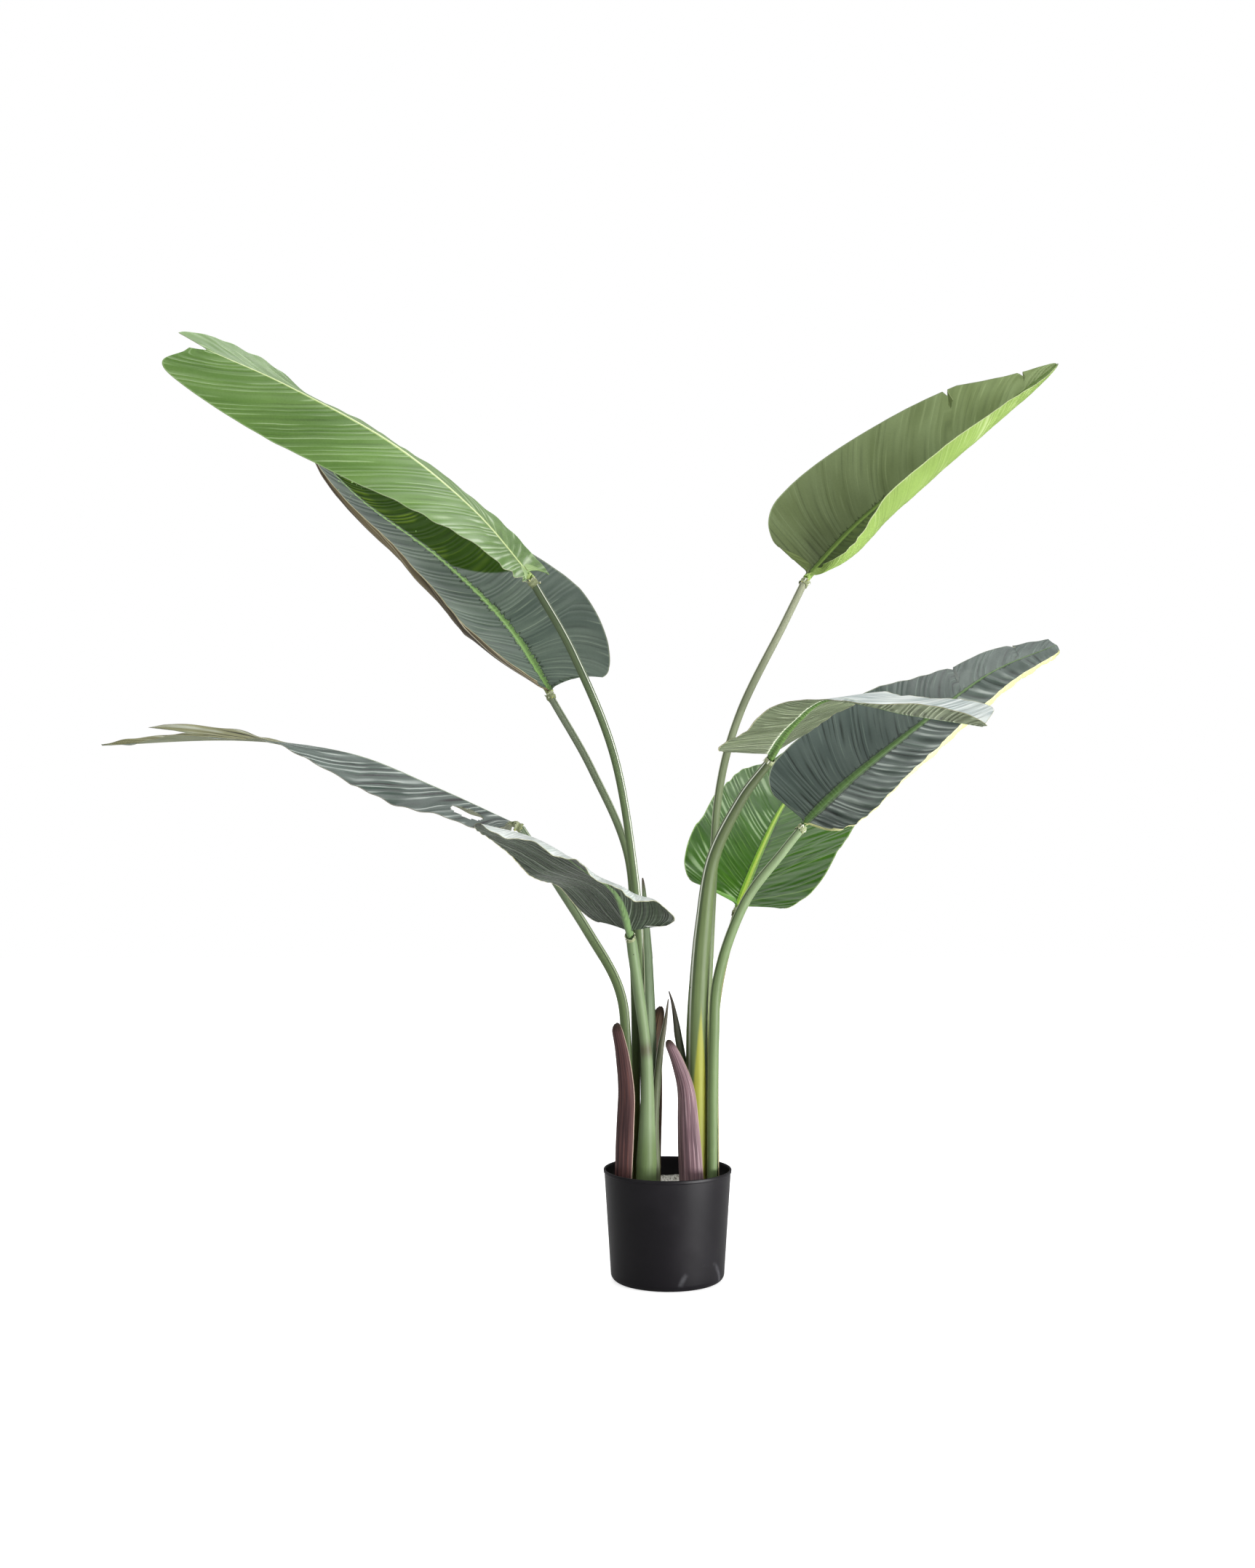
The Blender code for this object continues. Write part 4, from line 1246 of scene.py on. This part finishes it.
def pot_plastic():
    material, shader = new_material("black_plastic")
    where = coords(shader)
    haze = fade(grain(where, 16.0, 4.0), 0.45, 0.8)
    colour = mix(haze, "#121014", "#19171B")
    colour = mix(specks(where, 55.0, (0.05, 0.03), 0.045) * 0.7, colour, "#B8B8BC")
    bend = put("ShaderNodeVectorMath", {0: where, 1: SCUFF_CENTRE}, operation="SUBTRACT")
    scuff = fade(abs(distance(bend) - SCUFF_RADIUS), 0.005, 0.0) * fade(split_up(where)[2], 0.04, 0.03)
    scuff = scuff * fade(grain(where, 44.0, 3.0), 0.45, 0.65)
    fill_in(shader, {"Base Color": mix(scuff * 0.16, colour, "#8C8C92"),
                     "Roughness": scuff * 0.2 + haze * 0.08 + 0.4, "Specular IOR Level": 0.2,
                     "Normal": bump(grain(where, 300.0), 0.12, 0.0003)})
    return material


pull_pot()

# %% [markdown]
# The fill is cast from pale cement with grit in it. Its top is a rough disc, a little uneven, with bits of
# grit lying on it. The disc starts as a grid that is drawn into a circle.

# %% Fill
FILL_RINGS = 60
FILL_SPOKES = 180
FILL_SIDE = 0.03
FILL_SINK = 0.0004
FILL_CENTRE_MERGE = 0.00001
FILL_WAVES = ((70, 0.0005), (160, 0.0003), (400, 0.0002))
FILL_EDGE = pot_radius(FILL_TOP) - POT_WALL - CLEARANCE


def cast_fill():
    chance = np.random.default_rng(7)
    turns = np.linspace(0, 2 * math.pi, FILL_SPOKES + 1)
    radii = np.linspace(0.0, 1.0, FILL_RINGS + 1) * FILL_EDGE
    x = np.outer(radii, np.cos(turns))
    y = np.outer(radii, np.sin(turns))
    z = np.zeros_like(x)
    for size, height in FILL_WAVES:
        for turn, phase in zip(chance.uniform(0, math.pi, 5), chance.uniform(0, 6.3, 5)):
            z += height / 2 * np.sin(size * (x * math.cos(turn) + y * math.sin(turn)) * 2 + phase)
    piece = lay_grid("fill_top", np.stack([x, y, FILL_TOP + z - FILL_SINK], axis=-1))
    bpy.ops.object.mode_set(mode="EDIT")
    bpy.ops.mesh.select_all(action="SELECT")
    bpy.ops.mesh.remove_doubles(threshold=FILL_CENTRE_MERGE)
    bpy.ops.mesh.select_all(action="DESELECT")
    bpy.ops.mesh.select_non_manifold()
    bpy.ops.mesh.extrude_region_move(TRANSFORM_OT_translate={"value": (0, 0, -FILL_SIDE)})
    bpy.ops.object.mode_set(mode="OBJECT")
    mend(fill=True)
    smooth(40)
    piece.data.materials.append(grit("cement", "#C9C6BE", "#8E8A82"))
    hand_over(piece, SLOTS["fill"], "fill")


def grit(name, pale, dark):
    material, shader = new_material(name)
    where = coords(shader)
    colour = mix(grain(where, 60.0, 3.0), pale, "#E4E2DC")
    colour = mix(fade(grain(where, 520.0, 3.0), 0.48, 0.58), colour, dark)
    fill_in(shader, {"Base Color": colour, "Roughness": 0.92,
                     "Normal": bump(grain(where, 480.0, 3.0), 0.7, 0.0008)})
    return material


cast_fill()

# %% [markdown]
# Loose grit lies on the cast top. Each grain is a coarse ball, pressed flat and turned at random from a
# fixed seed, and all of them are joined into one heap, because nobody needs to pick up a single grain.

# %% Grit on the fill
PEBBLES = 190
PEBBLE_SIZES = (0.0006, 0.0017)
PEBBLE_REACH = FILL_EDGE * 0.97


def drop_ball(place, size):
    """A coarse ball with a turn drawn by chance."""
    bpy.ops.mesh.primitive_ico_sphere_add(subdivisions=1, radius=size, location=place,
                                          rotation=(random.uniform(0, 3), random.uniform(0, 3), 0))
    return bpy.context.object


def join_pieces(pieces, name, skin, slot):
    bpy.ops.object.select_all(action="DESELECT")
    for piece in pieces:
        piece.select_set(True)
    bpy.ops.object.join()
    joined = bpy.context.object
    joined.name = name
    bpy.ops.object.transform_apply(location=True, rotation=True, scale=True)
    joined.data.materials.append(skin)
    hand_over(joined, slot)


def scatter_grit():
    random.seed(11)
    stones = []
    for _ in range(PEBBLES):
        turn = random.uniform(0, 2 * math.pi)
        radius = PEBBLE_REACH * math.sqrt(random.random())
        size = random.uniform(*PEBBLE_SIZES)
        stone = drop_ball((radius * math.cos(turn), radius * math.sin(turn), FILL_TOP + size * 0.35), size)
        stone.scale = (1, random.uniform(0.6, 1), random.uniform(0.4, 0.8))
        stones.append(stone)
    join_pieces(stones, "fill_grit", grit("grit_stone", "#A8A49A", "#5A5750"), SLOTS["fill"])


scatter_grit()

# %% [markdown]
# Each leaf is clipped to its stalk. The clip shows as a short ragged collar, and a few chips of white and
# yellow plastic stick out of it.

# %% Leaf clips
COLLAR_SIDES = 24
COLLAR_ROWS = 6
COLLAR_RADIUS = 0.0058
COLLAR_LENGTH = 0.009
COLLAR_WALL = 0.0005
COLLAR_RAG = 0.0016
CHIPS = 6
CHIP_SIZES = (0.0008, 0.0016)
CHIP_REACH = (-0.009, 0.004)


def clip_leaf(name, seed):
    random.seed(seed)
    way = Way(LEAVES[name].midrib)
    along, right, up = axes(way, 0.0)
    centre = way.on_curve(0.0) - up * KEEL_DEPTH * 0.5
    angles = np.linspace(0, 2 * math.pi, COLLAR_SIDES + 1)
    around = np.outer(np.cos(angles), right) + np.outer(np.sin(angles), up)
    ragged = np.array([random.uniform(-COLLAR_RAG, COLLAR_RAG) for _ in range(COLLAR_SIDES)])
    ragged = np.append(ragged, ragged[0])
    rows = []
    for share in np.linspace(0, 1, COLLAR_ROWS + 1):
        reach = (share - 0.75) * COLLAR_LENGTH + ragged * (2 * share - 1) * 0.8
        radius = COLLAR_RADIUS * (1 + 0.1 * math.sin(share * 9 + seed)) + np.abs(ragged) * 0.25
        rows.append(centre + np.outer(reach, along) + around * radius[:, None])
    piece = lay_grid(name.replace("leaf", "clip"), rows)
    mend(TOUCHING)
    thicken(piece, COLLAR_WALL, -1)
    piece.data.materials.append(CLIP_SKIN)
    hand_over(piece, "stem_green")
    chips = []
    for _ in range(CHIPS):
        turn = random.uniform(0, 2 * math.pi)
        out = right * math.cos(turn) + up * math.sin(turn)
        place = centre + out * COLLAR_RADIUS * 1.15 + along * random.uniform(*CHIP_REACH)
        chip = drop_ball(place, random.uniform(*CHIP_SIZES))
        chip.scale = (random.uniform(0.3, 0.6), random.uniform(0.3, 0.8), random.uniform(1, 2.2))
        chips.append(chip)
    join_pieces(chips, name.replace("leaf", "chips"), CHIP_SKIN, "stem_green")


def chip_skin():
    material, shader = new_material("chip_plastic")
    yellow = fade(grain(coords(shader), 260.0, 1.0), 0.45, 0.6)
    fill_in(shader, {"Base Color": mix(yellow, "#E8E8DA", "#D8D84A"), "Roughness": 0.4})
    return material


CLIP_SKIN = stem_skin("clip_plastic", "#8A926C", "#A8AE8E", lip="#ECEEDE")
CHIP_SKIN = chip_skin()
for seed, leaf_name in enumerate(LEAVES):
    clip_leaf(leaf_name, seed + 3)
